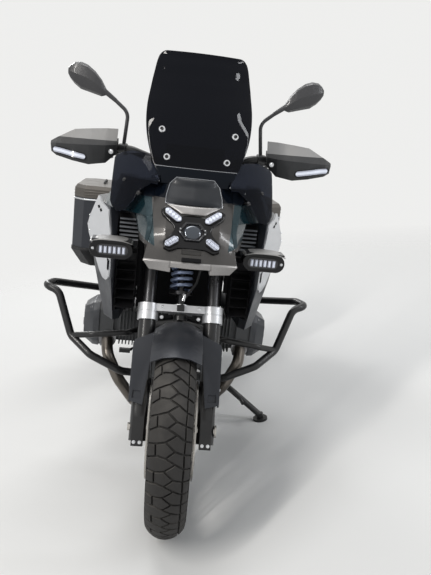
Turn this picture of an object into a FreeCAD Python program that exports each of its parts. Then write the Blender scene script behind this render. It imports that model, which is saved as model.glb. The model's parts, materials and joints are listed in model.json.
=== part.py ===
"""Adventure motorcycle, parked on its side stand.

A flat-twin touring motorcycle for rough roads: a link-arm front fork, a
single-sided shaft-drive swingarm, wire wheels, tubular engine guards, hand
guards, a tall screen and two side cases with opening lids.

The upright motorcycle faces -Y, its left side is +X, and the middle of the
wheelbase stands at Y = 0.  Every piece is drawn upright and straight ahead.
Its Placement then leans it onto the side stand, and turns the steered pieces
by the small angle at which the bars were left.
"""
import FreeCAD, Part
import math
import os
import Sketcher

V = FreeCAD.Vector
DOC = FreeCAD.newDocument("adventure_motorcycle")
SHEET = DOC.addObject("Spreadsheet::Sheet", "Sizes")

# Driving sizes, in millimetres and degrees: name, value, what it is.
SIZES = [
    ("wheelbase", 1534, "front axle to rear axle"),
    ("head_angle", 63.8, "steering axis above the ground"),
    ("fork_offset", 37, "axle ahead of the steering axis"),
    ("lean_angle", 13, "lean to the left on the side stand"),
    ("steer_angle", -3.5, "bars as they were left, to the right"),
    ("seat_gap", 0.3, "room left between pieces that seat on each other"),
    ("bearing_gap", 0.1, "radial room of a turning shaft"),
    ("front_tyre_radius", 325, "outer radius of the front tyre"),
    ("front_tyre_half", 60, "half the front tyre's width"),
    ("front_crown", 66.5, "radius of the front tyre's crown"),
    ("front_seat_radius", 241, "bead seat of the front rim"),
    ("front_rim_half", 38, "half the front rim's inner width"),
    ("rear_tyre_radius", 318, "outer radius of the rear tyre"),
    ("rear_tyre_half", 85, "half the rear tyre's width"),
    ("rear_crown", 99.5, "radius of the rear tyre's crown"),
    ("rear_seat_radius", 216, "bead seat of the rear rim"),
    ("rear_rim_half", 58, "half the rear rim's inner width"),
    ("rim_wall", 4, "thickness of both rims"),
    ("axle_radius", 12.5, "outside of the hollow front axle"),
    ("axle_bore", 8, "bore through the front axle"),
    ("hub_radius", 30, "front hub barrel"),
    ("spoke_radius", 2.2, "wire spokes"),
    ("disc_radius", 155, "front brake discs"),
    ("disc_thickness", 5, "brake discs"),
    ("disc_offset", 68, "front disc's inner face from the middle"),
    ("fork_half", 106, "fork legs from the middle"),
    ("slider_radius", 28, "lower fork legs"),
    ("slider_top", 395, "top of the lower legs above the axle, along the fork"),
    ("stanchion_radius", 20, "upper fork tubes"),
    ("clamp_radius", 34, "silver clamps round the lower legs"),
    ("clamp_height", 54, "height of those clamps"),
    ("yoke_height", 812, "underside of the top yoke along the fork"),
    ("bar_radius", 14, "handlebar tube"),
    ("grip_radius", 17.5, "rubber grips"),
    ("bar_half", 462, "handlebar end from the middle"),
    ("guard_radius", 14, "engine guard tubes"),
    ("sub_tube_radius", 12, "rear frame and rack tubes"),
    ("cylinder_half", 74, "half the height and depth of a cylinder"),
    ("crank_height", 505, "crankshaft above the ground"),
    ("cylinder_reach", 232, "cylinder's outer face from the middle"),
    ("case_length", 440, "side case, front to rear"),
    ("case_wall", 4, "side case walls"),
    ("case_inner", 244, "side case's inner wall from the middle"),
    ("case_outer", 500, "side case's outer wall from the middle"),
    ("case_seam", 885, "height of the side case's lid seam"),
    ("lid_height", 58, "height of the side case's lid"),
    ("stand_reach", 405, "side stand foot from the middle, upright"),
]

for row, (name, value, note) in enumerate(SIZES, start=1):
    SHEET.set("A%d" % row, str(value))
    SHEET.setAlias("A%d" % row, name)
    SHEET.set("B%d" % row, note)
DOC.recompute()


def size(name):
    """A driving size from the sheet."""
    return float(SHEET.get(name))


GAP = size("seat_gap")
FRONT_AXLE = V(0, -size("wheelbase") / 2, size("front_tyre_radius"))
REAR_AXLE = V(0, size("wheelbase") / 2, size("rear_tyre_radius"))
HEAD = math.radians(size("head_angle"))
STEER_AXIS = V(0, math.cos(HEAD), math.sin(HEAD))
AHEAD = V(0, -math.sin(HEAD), math.cos(HEAD))
X, Y, Z = V(1, 0, 0), V(0, 1, 0), V(0, 0, 1)


def fork_point(along, ahead=0.0, side=0.0):
    """A point on the fork: along the steering axis from the axle's level, ahead of it, to the side."""
    foot = FRONT_AXLE - AHEAD * size("fork_offset")
    return foot + STEER_AXIS * along + AHEAD * ahead + X * side


# The parked pose: the lean about the tyres' line, then the shift that puts
# the origin under the middle of the whole motorcycle.
CROWN_DROP = size("rear_crown") * (1 - math.cos(math.radians(size("lean_angle"))))
PARKED_SHIFT = V(-201.7, -50.7, CROWN_DROP)
LEAN = FreeCAD.Placement(PARKED_SHIFT, FreeCAD.Rotation(Y, size("lean_angle")))
TURNED = FreeCAD.Placement(V(), FreeCAD.Rotation(STEER_AXIS, size("steer_angle")), fork_point(0))
STEERED = LEAN.multiply(TURNED)

PIECES = []


def piece(label, shape, steered=False):
    """One node of the assembly, from a shape drawn upright."""
    obj = DOC.addObject("Part::Feature", label)
    obj.Label = label
    obj.Shape = shape
    obj.Placement = (STEERED if steered else LEAN).multiply(shape.Placement)
    PIECES.append(obj)
    return obj


def place(obj, label, steered=False, at=None):
    """One node of the assembly, from a feature or body drawn about its own origin."""
    obj.Label = label
    own = FreeCAD.Placement(at or V(), FreeCAD.Rotation())
    obj.Placement = (STEERED if steered else LEAN).multiply(own)
    PIECES.append(obj)
    return obj


# Shape helpers

def ring(points):
    return Part.makePolygon([V(*p) for p in points] + [V(*points[0])])


def prism(points, along):
    """A flat outline pushed along a vector."""
    return Part.Face(ring(points)).extrude(V(*along))


def loft(sections):
    """A solid of straight rulings through flat outlines of equally many points."""
    return Part.makeLoft([ring(points) for points in sections], True, True)


def by_height(rows):
    """loft from rows of (z, [(x, y), ...])."""
    return loft([[(x, y, z) for x, y in outline] for z, outline in rows])


def by_station(rows):
    """loft from rows of (y, [(x, z), ...])."""
    return loft([[(x, y, z) for x, z in outline] for y, outline in rows])


def by_side(rows):
    """loft from rows of (x, [(y, z), ...])."""
    return loft([[(x, y, z) for y, z in outline] for x, outline in rows])


def symmetric(half):
    """A half outline, given from the middle outwards, closed by its mirror image."""
    return list(half) + [(-a, b) for a, b in reversed(half) if a]


def mirrored(shape):
    """The same shape on the right-hand side."""
    return shape.mirror(V(), X)


def both(shape):
    """The shape and its mirror image, as two solids of one node."""
    return Part.makeCompound([shape, mirrored(shape)])


def fuse(*shapes):
    return shapes[0].multiFuse(list(shapes[1:])).removeSplitter()


def rod(start, end, radius):
    """A round bar between two points."""
    start, end = V(*start), V(*end)
    return Part.makeCylinder(radius, (end - start).Length, start, end - start)


def bent_path(points, bend):
    """Straight runs joined by tangent arcs of one radius."""
    points = [V(*p) for p in points]
    edges = []
    here = points[0]
    for before, corner, after in zip(points, points[1:], points[2:]):
        back = (before - corner).normalize()
        on = (after - corner).normalize()
        half = back.getAngle(on) / 2
        reach = bend / math.tan(half)
        room = 0.48 * min((before - corner).Length, (after - corner).Length)
        reach = min(reach, room)
        start, end = corner + back * reach, corner + on * reach
        bisector = (back + on).normalize()
        radius = reach * math.tan(half)
        middle = corner + bisector * (radius / math.sin(half) - radius)
        if (start - here).Length > 1e-6:
            edges.append(Part.LineSegment(here, start).toShape())
        edges.append(Part.Arc(start, middle, end).toShape())
        here = end
    edges.append(Part.LineSegment(here, points[-1]).toShape())
    return Part.Wire(edges)


def tube(points, radius, bend=40):
    """A round bar bent along a route."""
    path = bent_path(points, bend)
    start = V(*points[0])
    direction = V(*points[1]) - start
    profile = Part.Wire([Part.makeCircle(radius, start, direction)])
    return path.makePipeShell([profile], True, False)


def bar_box(low, high):
    """A box between two corners."""
    low, high = V(*low), V(*high)
    span = high - low
    return Part.makeBox(span.x, span.y, span.z, low)


def slab(centre, span, turn=None):
    """A box about its centre, turned by a rotation."""
    box = Part.makeBox(*span, V(*span) * -0.5)
    box.Placement = FreeCAD.Placement(V(*centre), turn or FreeCAD.Rotation())
    return box


def terms(formula):
    """The signed terms of a formula such as "rim_half - 4"."""
    words = formula.replace("-", " - ").replace("+", " + ").split()
    sign = 1
    for word in words:
        if word in "+-":
            sign = 1 if word == "+" else -1
        else:
            yield sign, word
            sign = 1


def worked_out(formula):
    """The value of a formula of the sheet's names."""
    return sum(sign * (size(word) if word[0].isalpha() else float(word)) for sign, word in terms(formula))


def in_sheet(formula):
    """The same formula as an expression that reads the sheet."""
    words = [("+" if sign > 0 else "-") + ("Sizes." + word if word[0].isalpha() else word)
             for sign, word in terms(formula)]
    return " ".join(words).lstrip("+")


def outline_sketch(body, name, profile):
    """A closed outline on the body's XY plane, walked anticlockwise.

    Each row is (x, y, bulge): two formulas, and the radius formula of the arc to the next point or None.
    """
    sketch = body.newObject("Sketcher::SketchObject", name)
    plane = [feature for feature in body.Origin.OriginFeatures if feature.Role == "XY_Plane"][0]
    sketch.AttachmentSupport = [(plane, "")]
    sketch.MapMode = "FlatFace"
    corners = [V(worked_out(x), worked_out(y), 0) for x, y, bulge in profile]
    for here, there, row in zip(corners, corners[1:] + corners[:1], profile):
        if row[2] is None:
            sketch.addGeometry(Part.LineSegment(here, there), False)
            continue
        radius = worked_out(row[2])
        chord = there - here
        rise = math.sqrt(radius ** 2 - (chord.Length / 2) ** 2)
        centre = (here + there) * 0.5 + Z.cross(chord).normalize() * rise
        start = math.atan2(here.y - centre.y, here.x - centre.x)
        end = math.atan2(there.y - centre.y, there.x - centre.x)
        circle = Part.Circle(centre, Z, radius)
        sketch.addGeometry(Part.ArcOfCircle(circle, start, end if end > start else end + 2 * math.pi), False)
    for i, (x, y, bulge) in enumerate(profile):
        sketch.addConstraint(Sketcher.Constraint("Coincident", i, 2, (i + 1) % len(profile), 1))
        for kind, formula in (("DistanceX", x), ("DistanceY", y)):
            k = sketch.addConstraint(Sketcher.Constraint(kind, -1, 1, i, 1, worked_out(formula)))
            sketch.setExpression("Constraints[%d]" % k, in_sheet(formula))
        if bulge is not None:
            k = sketch.addConstraint(Sketcher.Constraint("Radius", i, worked_out(bulge)))
            sketch.setExpression("Constraints[%d]" % k, in_sheet(bulge))
    return sketch


def turned_body(name, profile):
    """A body of revolution about X; the profile's rows are (across, radius, bulge) formulas."""
    body = DOC.addObject("PartDesign::Body", name)
    sketch = outline_sketch(body, name + "_profile", profile)
    turn = body.newObject("PartDesign::Revolution", name + "_turn")
    turn.Profile = sketch
    turn.ReferenceAxis = (sketch, ["H_Axis"])
    turn.Angle = 360
    DOC.recompute()
    return body


def helper(name, shape):
    """A shape inside the document that a later feature takes in."""
    obj = DOC.addObject("Part::Feature", name)
    obj.Shape = shape
    return obj


def fused(name, parts):
    """The union of several objects of the document."""
    obj = DOC.addObject("Part::MultiFuse", name)
    obj.Shapes = parts
    DOC.recompute()
    return obj


# Wheels

def wheel_points(across, reach, angle, centre):
    """A point of a wheel, by its polar angle about the axle."""
    turn = math.radians(angle)
    return centre + V(across, -reach * math.cos(turn), reach * math.sin(turn))


def tyre(label, end):
    words = ("_tyre_half", "_tyre_radius", "_crown", "_seat_radius", "_rim_half")
    half, reach, crown, seat, rim_half = [end + word for word in words]
    shoulder = SHOULDER_DROP[end]
    profile = [
        ("-" + rim_half, seat, None),
        (rim_half, seat, None),
        (rim_half, seat + " + 12", None),
        (rim_half + " + 6", seat + " + 15", None),
        (half, reach + " - %s" % shoulder, crown),
        ("-" + half, reach + " - %s" % shoulder, None),
        ("-" + rim_half + " - 6", seat + " + 15", None),
        ("-" + rim_half, seat + " + 12", None),
    ]
    return turned_body(label, profile)


def crown_drop(end):
    """How far the shoulder lies inside the crown of a tyre."""
    crown, half = size(end + "_crown"), size(end + "_tyre_half")
    return crown - math.sqrt(crown ** 2 - half ** 2)


SHOULDER_DROP = {end: "%.6f" % crown_drop(end) for end in ("front", "rear")}


def rim(label, end, hub_profile, flanges, spokes):
    """A wire wheel: a turned rim, a turned hub and crossed spokes between them."""
    seat, half = end + "_seat_radius", end + "_rim_half"
    profile = [
        (half + " + 5", seat + " - 6", None),
        (half + " + 5", seat + " + 10", None),
        (half + " + seat_gap", seat + " + 10", None),
        (half + " + seat_gap", seat + " - seat_gap", None),
        ("-" + half + " - seat_gap", seat + " - seat_gap", None),
        ("-" + half + " - seat_gap", seat + " + 10", None),
        ("-" + half + " - 5", seat + " + 10", None),
        ("-" + half + " - 5", seat + " - 6", None),
        ("-" + half + " + 10", seat + " - seat_gap - rim_wall - 8", None),
        ("-" + half + " + 26", seat + " - seat_gap - rim_wall - 14", None),
        (half + " - 26", seat + " - seat_gap - rim_wall - 14", None),
        (half + " - 10", seat + " - seat_gap - rim_wall - 8", None),
    ]
    barrel = turned_body(label + "_barrel", profile)
    hub = turned_body(label + "_hub", hub_profile)
    wires = []
    foot_radius = size(seat) - GAP - size("rim_wall") - 9
    lead = 17
    for across, flange_radius in flanges:
        foot = math.copysign(size(half) - 16, across)
        for k in range(spokes):
            angle = 360.0 / spokes * k
            for sweep, apart in ((-lead, -2.7), (lead, 2.7)):
                start = wheel_points(across + apart, flange_radius - 5, angle, V())
                end_point = wheel_points(foot + apart, foot_radius + 2, angle + sweep, V())
                wires.append(rod(start, end_point, size("spoke_radius")))
    laced = helper(label + "_spokes", Part.makeCompound(wires))
    return fused(label, [barrel, hub, laced])


def disc_pair(sides, hole_count, reach, band, carrier_reach, carrier_from, carrier_to):
    """Perforated brake discs, each on a spider of arms that meets the hub."""
    thick = size("disc_thickness")
    discs = []
    for side in sides:
        face = side * size("disc_offset")
        along = V(side, 0, 0)
        rotor = Part.makeCylinder(reach, thick, V(face, 0, 0), along)
        rotor = rotor.cut(Part.makeCylinder(reach - band, thick, V(face, 0, 0), along))
        holes = []
        for k in range(hole_count):
            for row, step in ((0.3, 0), (0.7, 0.5)):
                at = wheel_points(face, reach - band * row, 360.0 / hole_count * (k + step), V())
                holes.append(Part.makeCylinder(4, thick, at, along))
        rotor = rotor.cut(Part.makeCompound(holes))
        carrier = Part.makeCylinder(carrier_reach + 10, thick, V(face, 0, 0), along)
        arms = [carrier]
        for k in range(6):
            arm = slab((face + side * thick / 2, 0, (carrier_reach + reach - band + 6) / 2),
                       (thick, 20, reach - band + 6 - carrier_reach))
            arm.rotate(V(), X, 60 * k)
            arms.append(arm)
        spider = Part.makeCompound(arms)
        boss_length = abs(face) + thick - carrier_from
        boss = Part.makeCylinder(carrier_reach, boss_length, V(side * carrier_from, 0, 0), along)
        whole = rotor.multiFuse([spider, boss])
        whole = whole.cut(Part.makeCylinder(carrier_to, 300, V(-150, 0, 0), X))
        discs.append(whole.removeSplitter())
    return Part.makeCompound(discs)


place(tyre("front_tyre", "front"), "front_tyre", True, FRONT_AXLE)
place(tyre("rear_tyre", "rear"), "rear_tyre", False, REAR_AXLE)

FRONT_HUB_END = size("disc_offset") - 6
place(rim("front_rim", "front", [
    ("-disc_offset + 6", "axle_radius + bearing_gap", None),
    ("disc_offset - 6", "axle_radius + bearing_gap", None),
    ("disc_offset - 6", "hub_radius + 6", None),
    ("42", "hub_radius + 6", None),
    ("39", "hub_radius + 34", None),
    ("25", "hub_radius + 34", None),
    ("20", "hub_radius", None),
    ("-20", "hub_radius", None),
    ("-25", "hub_radius + 34", None),
    ("-39", "hub_radius + 34", None),
    ("-42", "hub_radius + 6", None),
    ("-disc_offset + 6", "hub_radius + 6", None),
], ((32, 64), (-32, 64)), 8), "front_rim", True, FRONT_AXLE)
front_discs = disc_pair((1, -1), 16, size("disc_radius"), 40, 44, FRONT_HUB_END + GAP,
                        size("axle_radius") + size("bearing_gap"))
piece("front_discs", front_discs.translated(FRONT_AXLE), True)

# The rear wheel hangs on the left-hand bevel drive; its disc sits inside the drive.
place(rim("rear_rim", "rear", [
    ("-58", "18", None),
    ("62", "18", None),
    ("62", "60", None),
    ("48", "62", None),
    ("45", "80", None),
    ("31", "80", None),
    ("26", "56", None),
    ("-26", "50", None),
    ("-31", "80", None),
    ("-45", "80", None),
    ("-48", "52", None),
    ("-58", "46", None),
], ((38, 78), (-38, 78)), 8), "rear_rim", False, REAR_AXLE)
rear_disc = disc_pair((1,), 14, 138, 36, 58, 62 + GAP, 40)
piece("rear_disc", rear_disc.translated(REAR_AXLE))

# Front axle, fork and yokes

FORK_HALF, OFFSET = size("fork_half"), size("fork_offset")
LEG = [(side * FORK_HALF, OFFSET) for side in (1, -1)]
PLAY = size("bearing_gap")


def on_fork(shape):
    """A shape drawn with Z along the fork and Y behind it, moved onto the fork."""
    turn = FreeCAD.Rotation(X, math.degrees(math.acos(STEER_AXIS.z)) * -1)
    out = shape.copy()
    out.Placement = FreeCAD.Placement(fork_point(0), turn).multiply(out.Placement)
    return out


def fork_post(radius, low, high, side, ahead):
    """A round post standing along the fork."""
    return on_fork(Part.makeCylinder(radius, high - low, V(side, -ahead, low)))


def fork_box(low, high):
    """A box between two corners (side, ahead, along)."""
    return on_fork(bar_box((low[0], -high[1], low[2]), (high[0], -low[1], high[2])))


LEG_SIDE = FORK_HALF + size("slider_radius")
axle_end = LEG_SIDE + 6
axle = Part.makeCylinder(size("axle_radius"), 2 * axle_end, FRONT_AXLE - X * axle_end, X)
head = Part.makeCylinder(size("axle_radius") + 7, 5, FRONT_AXLE + X * (LEG_SIDE + 1), X)
bore = Part.makeCylinder(size("axle_bore"), 2 * axle_end + 20, FRONT_AXLE - X * (axle_end + 10), X)
piece("front_axle", axle.fuse(head).cut(bore), True)

sliders = []
for side, ahead in LEG:
    leg = fork_post(size("slider_radius"), -42, size("slider_top"), side, ahead)
    foot = fork_box((side - 18, ahead - 8, -58), (side + 18, ahead + 30, 30))
    taper = on_fork(loft([[(side - 18, -ahead - 28, 30), (side + 18, -ahead - 28, 30),
                           (side + 18, -ahead + 10, 30), (side - 18, -ahead + 10, 30)],
                          [(side - 22, -ahead - 20, 92), (side + 22, -ahead - 20, 92),
                           (side + 22, -ahead + 10, 92), (side - 22, -ahead + 10, 92)]]))
    pinch = [on_fork(rod((side + across, -ahead, -46), (side + across, -ahead - 33, -46), 5))
             for across in (-9, 9)]
    leg = leg.fuse([foot, taper] + pinch)
    hole = Part.makeCylinder(size("axle_radius") + PLAY, 400, FRONT_AXLE - X * 200, X)
    sliders.append(leg.cut(hole).removeSplitter())
piece("fork_sliders", Part.makeCompound(sliders), True)

YOKE_LOW, YOKE_HIGH = size("yoke_height"), size("yoke_height") + 26
tubes = [fork_post(size("stanchion_radius"), size("slider_top") + GAP, YOKE_HIGH + 8, side, ahead)
         for side, ahead in LEG]
piece("fork_tubes", Part.makeCompound(tubes), True)

CLAMP_LOW = 342
CLAMP_HIGH = CLAMP_LOW + size("clamp_height")
BRIDGE_LOW = 372
bridge = [fork_post(size("clamp_radius"), CLAMP_LOW, CLAMP_HIGH, side, ahead) for side, ahead in LEG]
bridge += [fork_box((-FORK_HALF, 14, BRIDGE_LOW), (FORK_HALF, 56, CLAMP_HIGH)),
           fork_box((-40, -14, BRIDGE_LOW), (40, 30, CLAMP_HIGH - 6)),
           fork_post(28, BRIDGE_LOW, CLAMP_HIGH + 8, 0, 0)]
bridge = fuse(*bridge)
for side, ahead in LEG:
    groove = fork_post(size("clamp_radius") + 2, CLAMP_LOW + 26, CLAMP_LOW + 29, side, ahead).cut(
        fork_post(size("clamp_radius") - 2, CLAMP_LOW + 20, CLAMP_LOW + 35, side, ahead))
    bridge = bridge.cut(groove)
    bridge = bridge.cut(fork_post(size("slider_radius") + GAP, 300, 450, side, ahead))
piece("fork_bridge", bridge, True)

# The brake hose from the bridge's splitter up to the top yoke.
HOSE = 4
splitter = fork_box((-12, 56 + GAP, BRIDGE_LOW + 4), (12, 70, BRIDGE_LOW + 22))
hose = on_fork(tube([(4, -64, BRIDGE_LOW + 20), (6, -66, 410), (46, -62, 470), (60, -40, 540), (58, -22, 700),
                     (56, -22, YOKE_LOW - GAP)], HOSE, 40))
piece("brake_hose", fuse(splitter, hose), True)

BAR_MIDDLE = (-345, 1125)
BAR_ROUTE = [(-size("bar_half"), -285, 1145), (-215, -348, 1163), (-100,) + BAR_MIDDLE,
             (100,) + BAR_MIDDLE, (215, -348, 1163), (size("bar_half"), -285, 1145)]
bar = tube(BAR_ROUTE, size("bar_radius"), 70)
bar_sleeve = tube(BAR_ROUTE, size("bar_radius") + GAP, 70)

RISER_SIDE, RISER_TOP = 55, 926
yoke = [fork_post(31, YOKE_LOW, YOKE_HIGH, side, ahead) for side, ahead in LEG]
yoke.append(on_fork(prism([(-FORK_HALF, -OFFSET + 26, YOKE_LOW), (-40, 34, YOKE_LOW), (40, 34, YOKE_LOW),
                           (FORK_HALF, -OFFSET + 26, YOKE_LOW), (FORK_HALF, -OFFSET - 26, YOKE_LOW),
                           (30, -OFFSET + 10, YOKE_LOW), (-30, -OFFSET + 10, YOKE_LOW),
                           (-FORK_HALF, -OFFSET - 26, YOKE_LOW)], (0, 0, YOKE_HIGH - YOKE_LOW))))
for side in (1, -1):
    yoke.append(fork_box((side * RISER_SIDE - 17, -12, YOKE_LOW), (side * RISER_SIDE + 17, 34, RISER_TOP)))
yoke = fuse(*yoke)
for side, ahead in LEG:
    yoke = yoke.cut(fork_post(size("stanchion_radius") + GAP, 600, 900, side, ahead))
piece("top_yoke", yoke.cut(bar_sleeve), True)
piece("handlebar", bar, True)


def along_bar(reach, side=1):
    """A point on the straight outer run of the bar, by its distance across."""
    inner, outer = V(*BAR_ROUTE[4]), V(*BAR_ROUTE[5])
    point = inner + (outer - inner) * ((reach - inner.x) / (outer.x - inner.x))
    return V(side * point.x, point.y, point.z)


GRIP_IN, GRIP_OUT = 330, size("bar_half") - 2
grips = []
for side in (1, -1):
    grip = rod(along_bar(GRIP_IN, side), along_bar(GRIP_OUT, side), size("grip_radius"))
    collar = rod(along_bar(GRIP_IN, side), along_bar(GRIP_IN + 6, side), size("grip_radius") + 5)
    grips.append(grip.fuse(collar).cut(bar_sleeve))
piece("grips", Part.makeCompound(grips), True)

# Controls: a clamp with its reservoir, and a lever in front of each grip.
clamp = rod(along_bar(262), along_bar(318), 22)
reservoir = slab(along_bar(286) + V(0, -38, 22), (58, 40, 34))
lever = tube([along_bar(268) + V(0, -44, -2), along_bar(318) + V(0, -66, -4), along_bar(380) + V(0, -60, -6),
              along_bar(452) + V(0, -58, -6)], 6, 30)
switch = slab(along_bar(300) + V(0, 10, -8), (40, 44, 44))
control = fuse(clamp, reservoir, lever, switch).cut(bar_sleeve)
piece("bar_controls", both(control), True)

# Hand guards: a curved shell before each grip, carried by the bar's end.
GUARD_ROWS = [
    # across, front edge y, top z, edge z, bottom z, how far the top lies back
    (256, -414, 1229, 1176, 1147, 34),
    (290, -430, 1228, 1172, 1114, 40),
    (346, -438, 1223, 1170, 1105, 44),
    (400, -430, 1217, 1168, 1113, 42),
    (462, -396, 1185, 1166, 1125, 20),
    (486, -366, 1172, 1163, 1136, 8),
    (497, -318, 1168, 1160, 1142, 4),
]
GUARD_THICK = 6


def guard_outline(front, high, edge, low, back):
    """A hand guard's section: a spoiler leaning back from the front edge, and a shell below it."""
    return [(front + back, high), (front, edge), (front + 12, low), (front + 12 + GUARD_THICK, low + 1),
            (front + GUARD_THICK + 1, edge - 2), (front + back + GUARD_THICK, high - 3)]


guard = by_side([(x, guard_outline(*row)) for x, *row in GUARD_ROWS])
guard = guard.fuse(rod((272, -424, 1153), (272, -404, 1153), 9))
end_block = rod(along_bar(size("bar_half") + GAP), along_bar(size("bar_half") + 24), 16)
end_arm = tube([along_bar(size("bar_half") + 12), along_bar(size("bar_half") + 18) + V(0, -40, 2),
                along_bar(size("bar_half") + 10) + V(0, -90, 4)], 9, 20)
piece("handguards", both(fuse(guard, end_block, end_arm)), True)

# Mirrors on bent stalks.
MIRROR_ROWS = [
    # across, y, middle z, half height, half depth
    (304, -350, 1345, 9, 8),
    (322, -350, 1358, 27, 12),
    (345, -348, 1374, 37, 15),
    (371, -345, 1387, 43, 16),
    (394, -343, 1394, 44, 15),
    (416, -340, 1401, 35, 13),
    (430, -338, 1404, 22, 9),
    (437, -337, 1405, 10, 5),
]


def mirror_outline(y, z, high, deep):
    """A leaf-shaped head's section: creased along the front, flat behind."""
    upper = [(y - deep * 0.5, z + high * 0.8), (y + deep * 0.5, z + high), (y + deep, z + high * 0.9)]
    lower = [(y + deep, z - high * 0.9), (y + deep * 0.5, z - high), (y - deep * 0.5, z - high * 0.8)]
    return [(y - deep, z)] + upper + lower


head = by_side([(x, mirror_outline(y, z, high, deep)) for x, y, z, high, deep in MIRROR_ROWS])
neck_from, neck_to = V(312, -350, 1350), V(272, -348, 1321)
neck = Part.makeCone(9, 7, (neck_to - neck_from).Length, neck_from, neck_to - neck_from)
head = head.fuse(neck)
stalk_foot = along_bar(240)
stalk = tube([stalk_foot + V(0, 0, 10), V(232, -352, 1240), V(228, -350, 1285), V(276, -348, 1324)], 6.5, 40)
stalk_clamp = rod(along_bar(228), along_bar(252), 20)
piece("mirrors", both(fuse(head, stalk, stalk_clamp).cut(bar_sleeve)), True)

# Mudguard: an arched shell over the tyre, with panels down both legs.
GUARD_INNER, GUARD_WALL = size("front_tyre_radius") + 11, 4


def arch_ring(half, reach, wall):
    half_outer = [(0, reach + wall), (half * 0.55, reach + wall - 6), (half, reach - 22), (half, reach - 58)]
    half_inner = [(half - wall, reach - 58), (half - wall, reach - 24), (half * 0.5, reach - 6), (0, reach)]
    right = half_outer + half_inner
    left = [(-x, r) for x, r in reversed(right)]
    return right + left[1:-1]


AHEAD_ANGLE = 90 - size("head_angle")
section = Part.Face(ring([(x, -r, 0) for x, r in arch_ring(74, GUARD_INNER, GUARD_WALL)]))
shell = section.revolve(V(), X, -56)
shell.rotate(V(), X, -(AHEAD_ANGLE + 36))
shell.translate(FRONT_AXLE)
PANEL_FRONT, PANEL_THICK = 78, 5
# the panel's front over a leg (across, along the fork), then its side (ahead, along the fork)
PANEL_FACE = [(70, 302), (LEG_SIDE + 3, 271), (LEG_SIDE + 8, 255), (LEG_SIDE + 8, 84), (LEG_SIDE + 2, 78),
              (98, 68), (89, 145), (81, 241), (72, 262)]
PANEL_SIDE = [(PANEL_FRONT - 2, 262), (20, 276), (12, 110), (60, 74), (PANEL_FRONT - 2, 76)]
SCOOP = [(104, 88), (132, 88), (130, 112), (106, 112)]
panels = []
for side in (1, -1):
    face = on_fork(prism([(side * x, -PANEL_FRONT, z) for x, z in PANEL_FACE], (0, PANEL_THICK, 0)))
    scoop = on_fork(prism([(side * x, -PANEL_FRONT, z) for x, z in SCOOP], (0, PANEL_THICK, 0)))
    lip = on_fork(prism([(side * x, -PANEL_FRONT + 6, z) for x, z in SCOOP], (0, PANEL_THICK, 0)))
    outer = on_fork(prism([(side * (LEG_SIDE + 3), -ahead, along) for ahead, along in PANEL_SIDE],
                          (side * PANEL_THICK, 0, 0)))
    panels += [face.cut(scoop), lip, outer]
    for along in (130, 240):
        panels.append(on_fork(rod((side * (LEG_SIDE + GAP), -OFFSET, along),
                                  (side * (LEG_SIDE + 4), -OFFSET, along), 10)))
    for low in (84, 110):
        panels.append(on_fork(slab((side * 118, -PANEL_FRONT + 6.5, low + 2), (32, 9, 4))))
mudguard = fuse(shell, *panels)
piece("front_mudguard", mudguard, True)

# Brake calipers behind the legs.
calipers = []
disc_middle = size("disc_offset") + size("disc_thickness") / 2
for side in (1, -1):
    body = slab((side * disc_middle, 0, 146), (50, 104, 64))
    window = slab((side * disc_middle, 0, 124), (16, 120, 72))
    lug = slab((side * (disc_middle + 16), -46, 132), (14, 70, 30))
    shape = body.cut(window).fuse(lug)
    shape.rotate(V(), X, -44)
    shape = on_fork(shape.translated(V(0, -OFFSET, 0)))
    shape = shape.cut(fork_post(size("slider_radius") + GAP, 0, 200, side * FORK_HALF, OFFSET))
    calipers.append(shape)
piece("brake_calipers", Part.makeCompound(calipers), True)

# Main frame: two side plates from the neck to the swingarm pivot.

PLATE_IN, PLATE_OUT = 92, 122
FRAME_PIN = (122, 440)
SHOCK_TOP = V(34, 214, 742)
EYE_REACH = 18
PLATE_EDGE = [(-322, 985), (-60, 850), (120, 800), (226, 794), (228, 752), (190, 700), (146, 540), (142, 400),
              (100, 400), (98, 560), (60, 680), (-80, 730), (-280, 830), (-386, 862)]
plate = prism([(PLATE_IN, y, z) for y, z in PLATE_EDGE], (PLATE_OUT - PLATE_IN, 0, 0))
neck = fork_post(32, 640, YOKE_LOW - GAP, 0, 0)
neck_arm = bar_box((-32, -440, 890), (32, -325, 965))
ears = [bar_box((side * 23 - 4, -426, 824), (side * 23 + 4, -378, 900)) for side in (1, -1)]
ears = [ear.cut(rod((-40, -400, 846), (40, -400, 846), 7)) for ear in ears]
neck_beam = bar_box((-PLATE_IN - 5, -345, 872), (PLATE_IN + 5, -312, 965))
cross = [rod((-PLATE_IN - 5, y, z), (PLATE_IN + 5, y, z), 15) for y, z in ((90, 785), FRAME_PIN)]
cross.append(rod((-PLATE_IN - 5, SHOCK_TOP.y, SHOCK_TOP.z + EYE_REACH + GAP + 10),
                 (PLATE_IN + 5, SHOCK_TOP.y, SHOCK_TOP.z + EYE_REACH + GAP + 10), 10))
frame = fuse(plate, mirrored(plate), neck, neck_arm, neck_beam, *cross, *ears)
piece("frame_spine", frame)

# Engine: a crankcase with a cylinder on each side.

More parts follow.
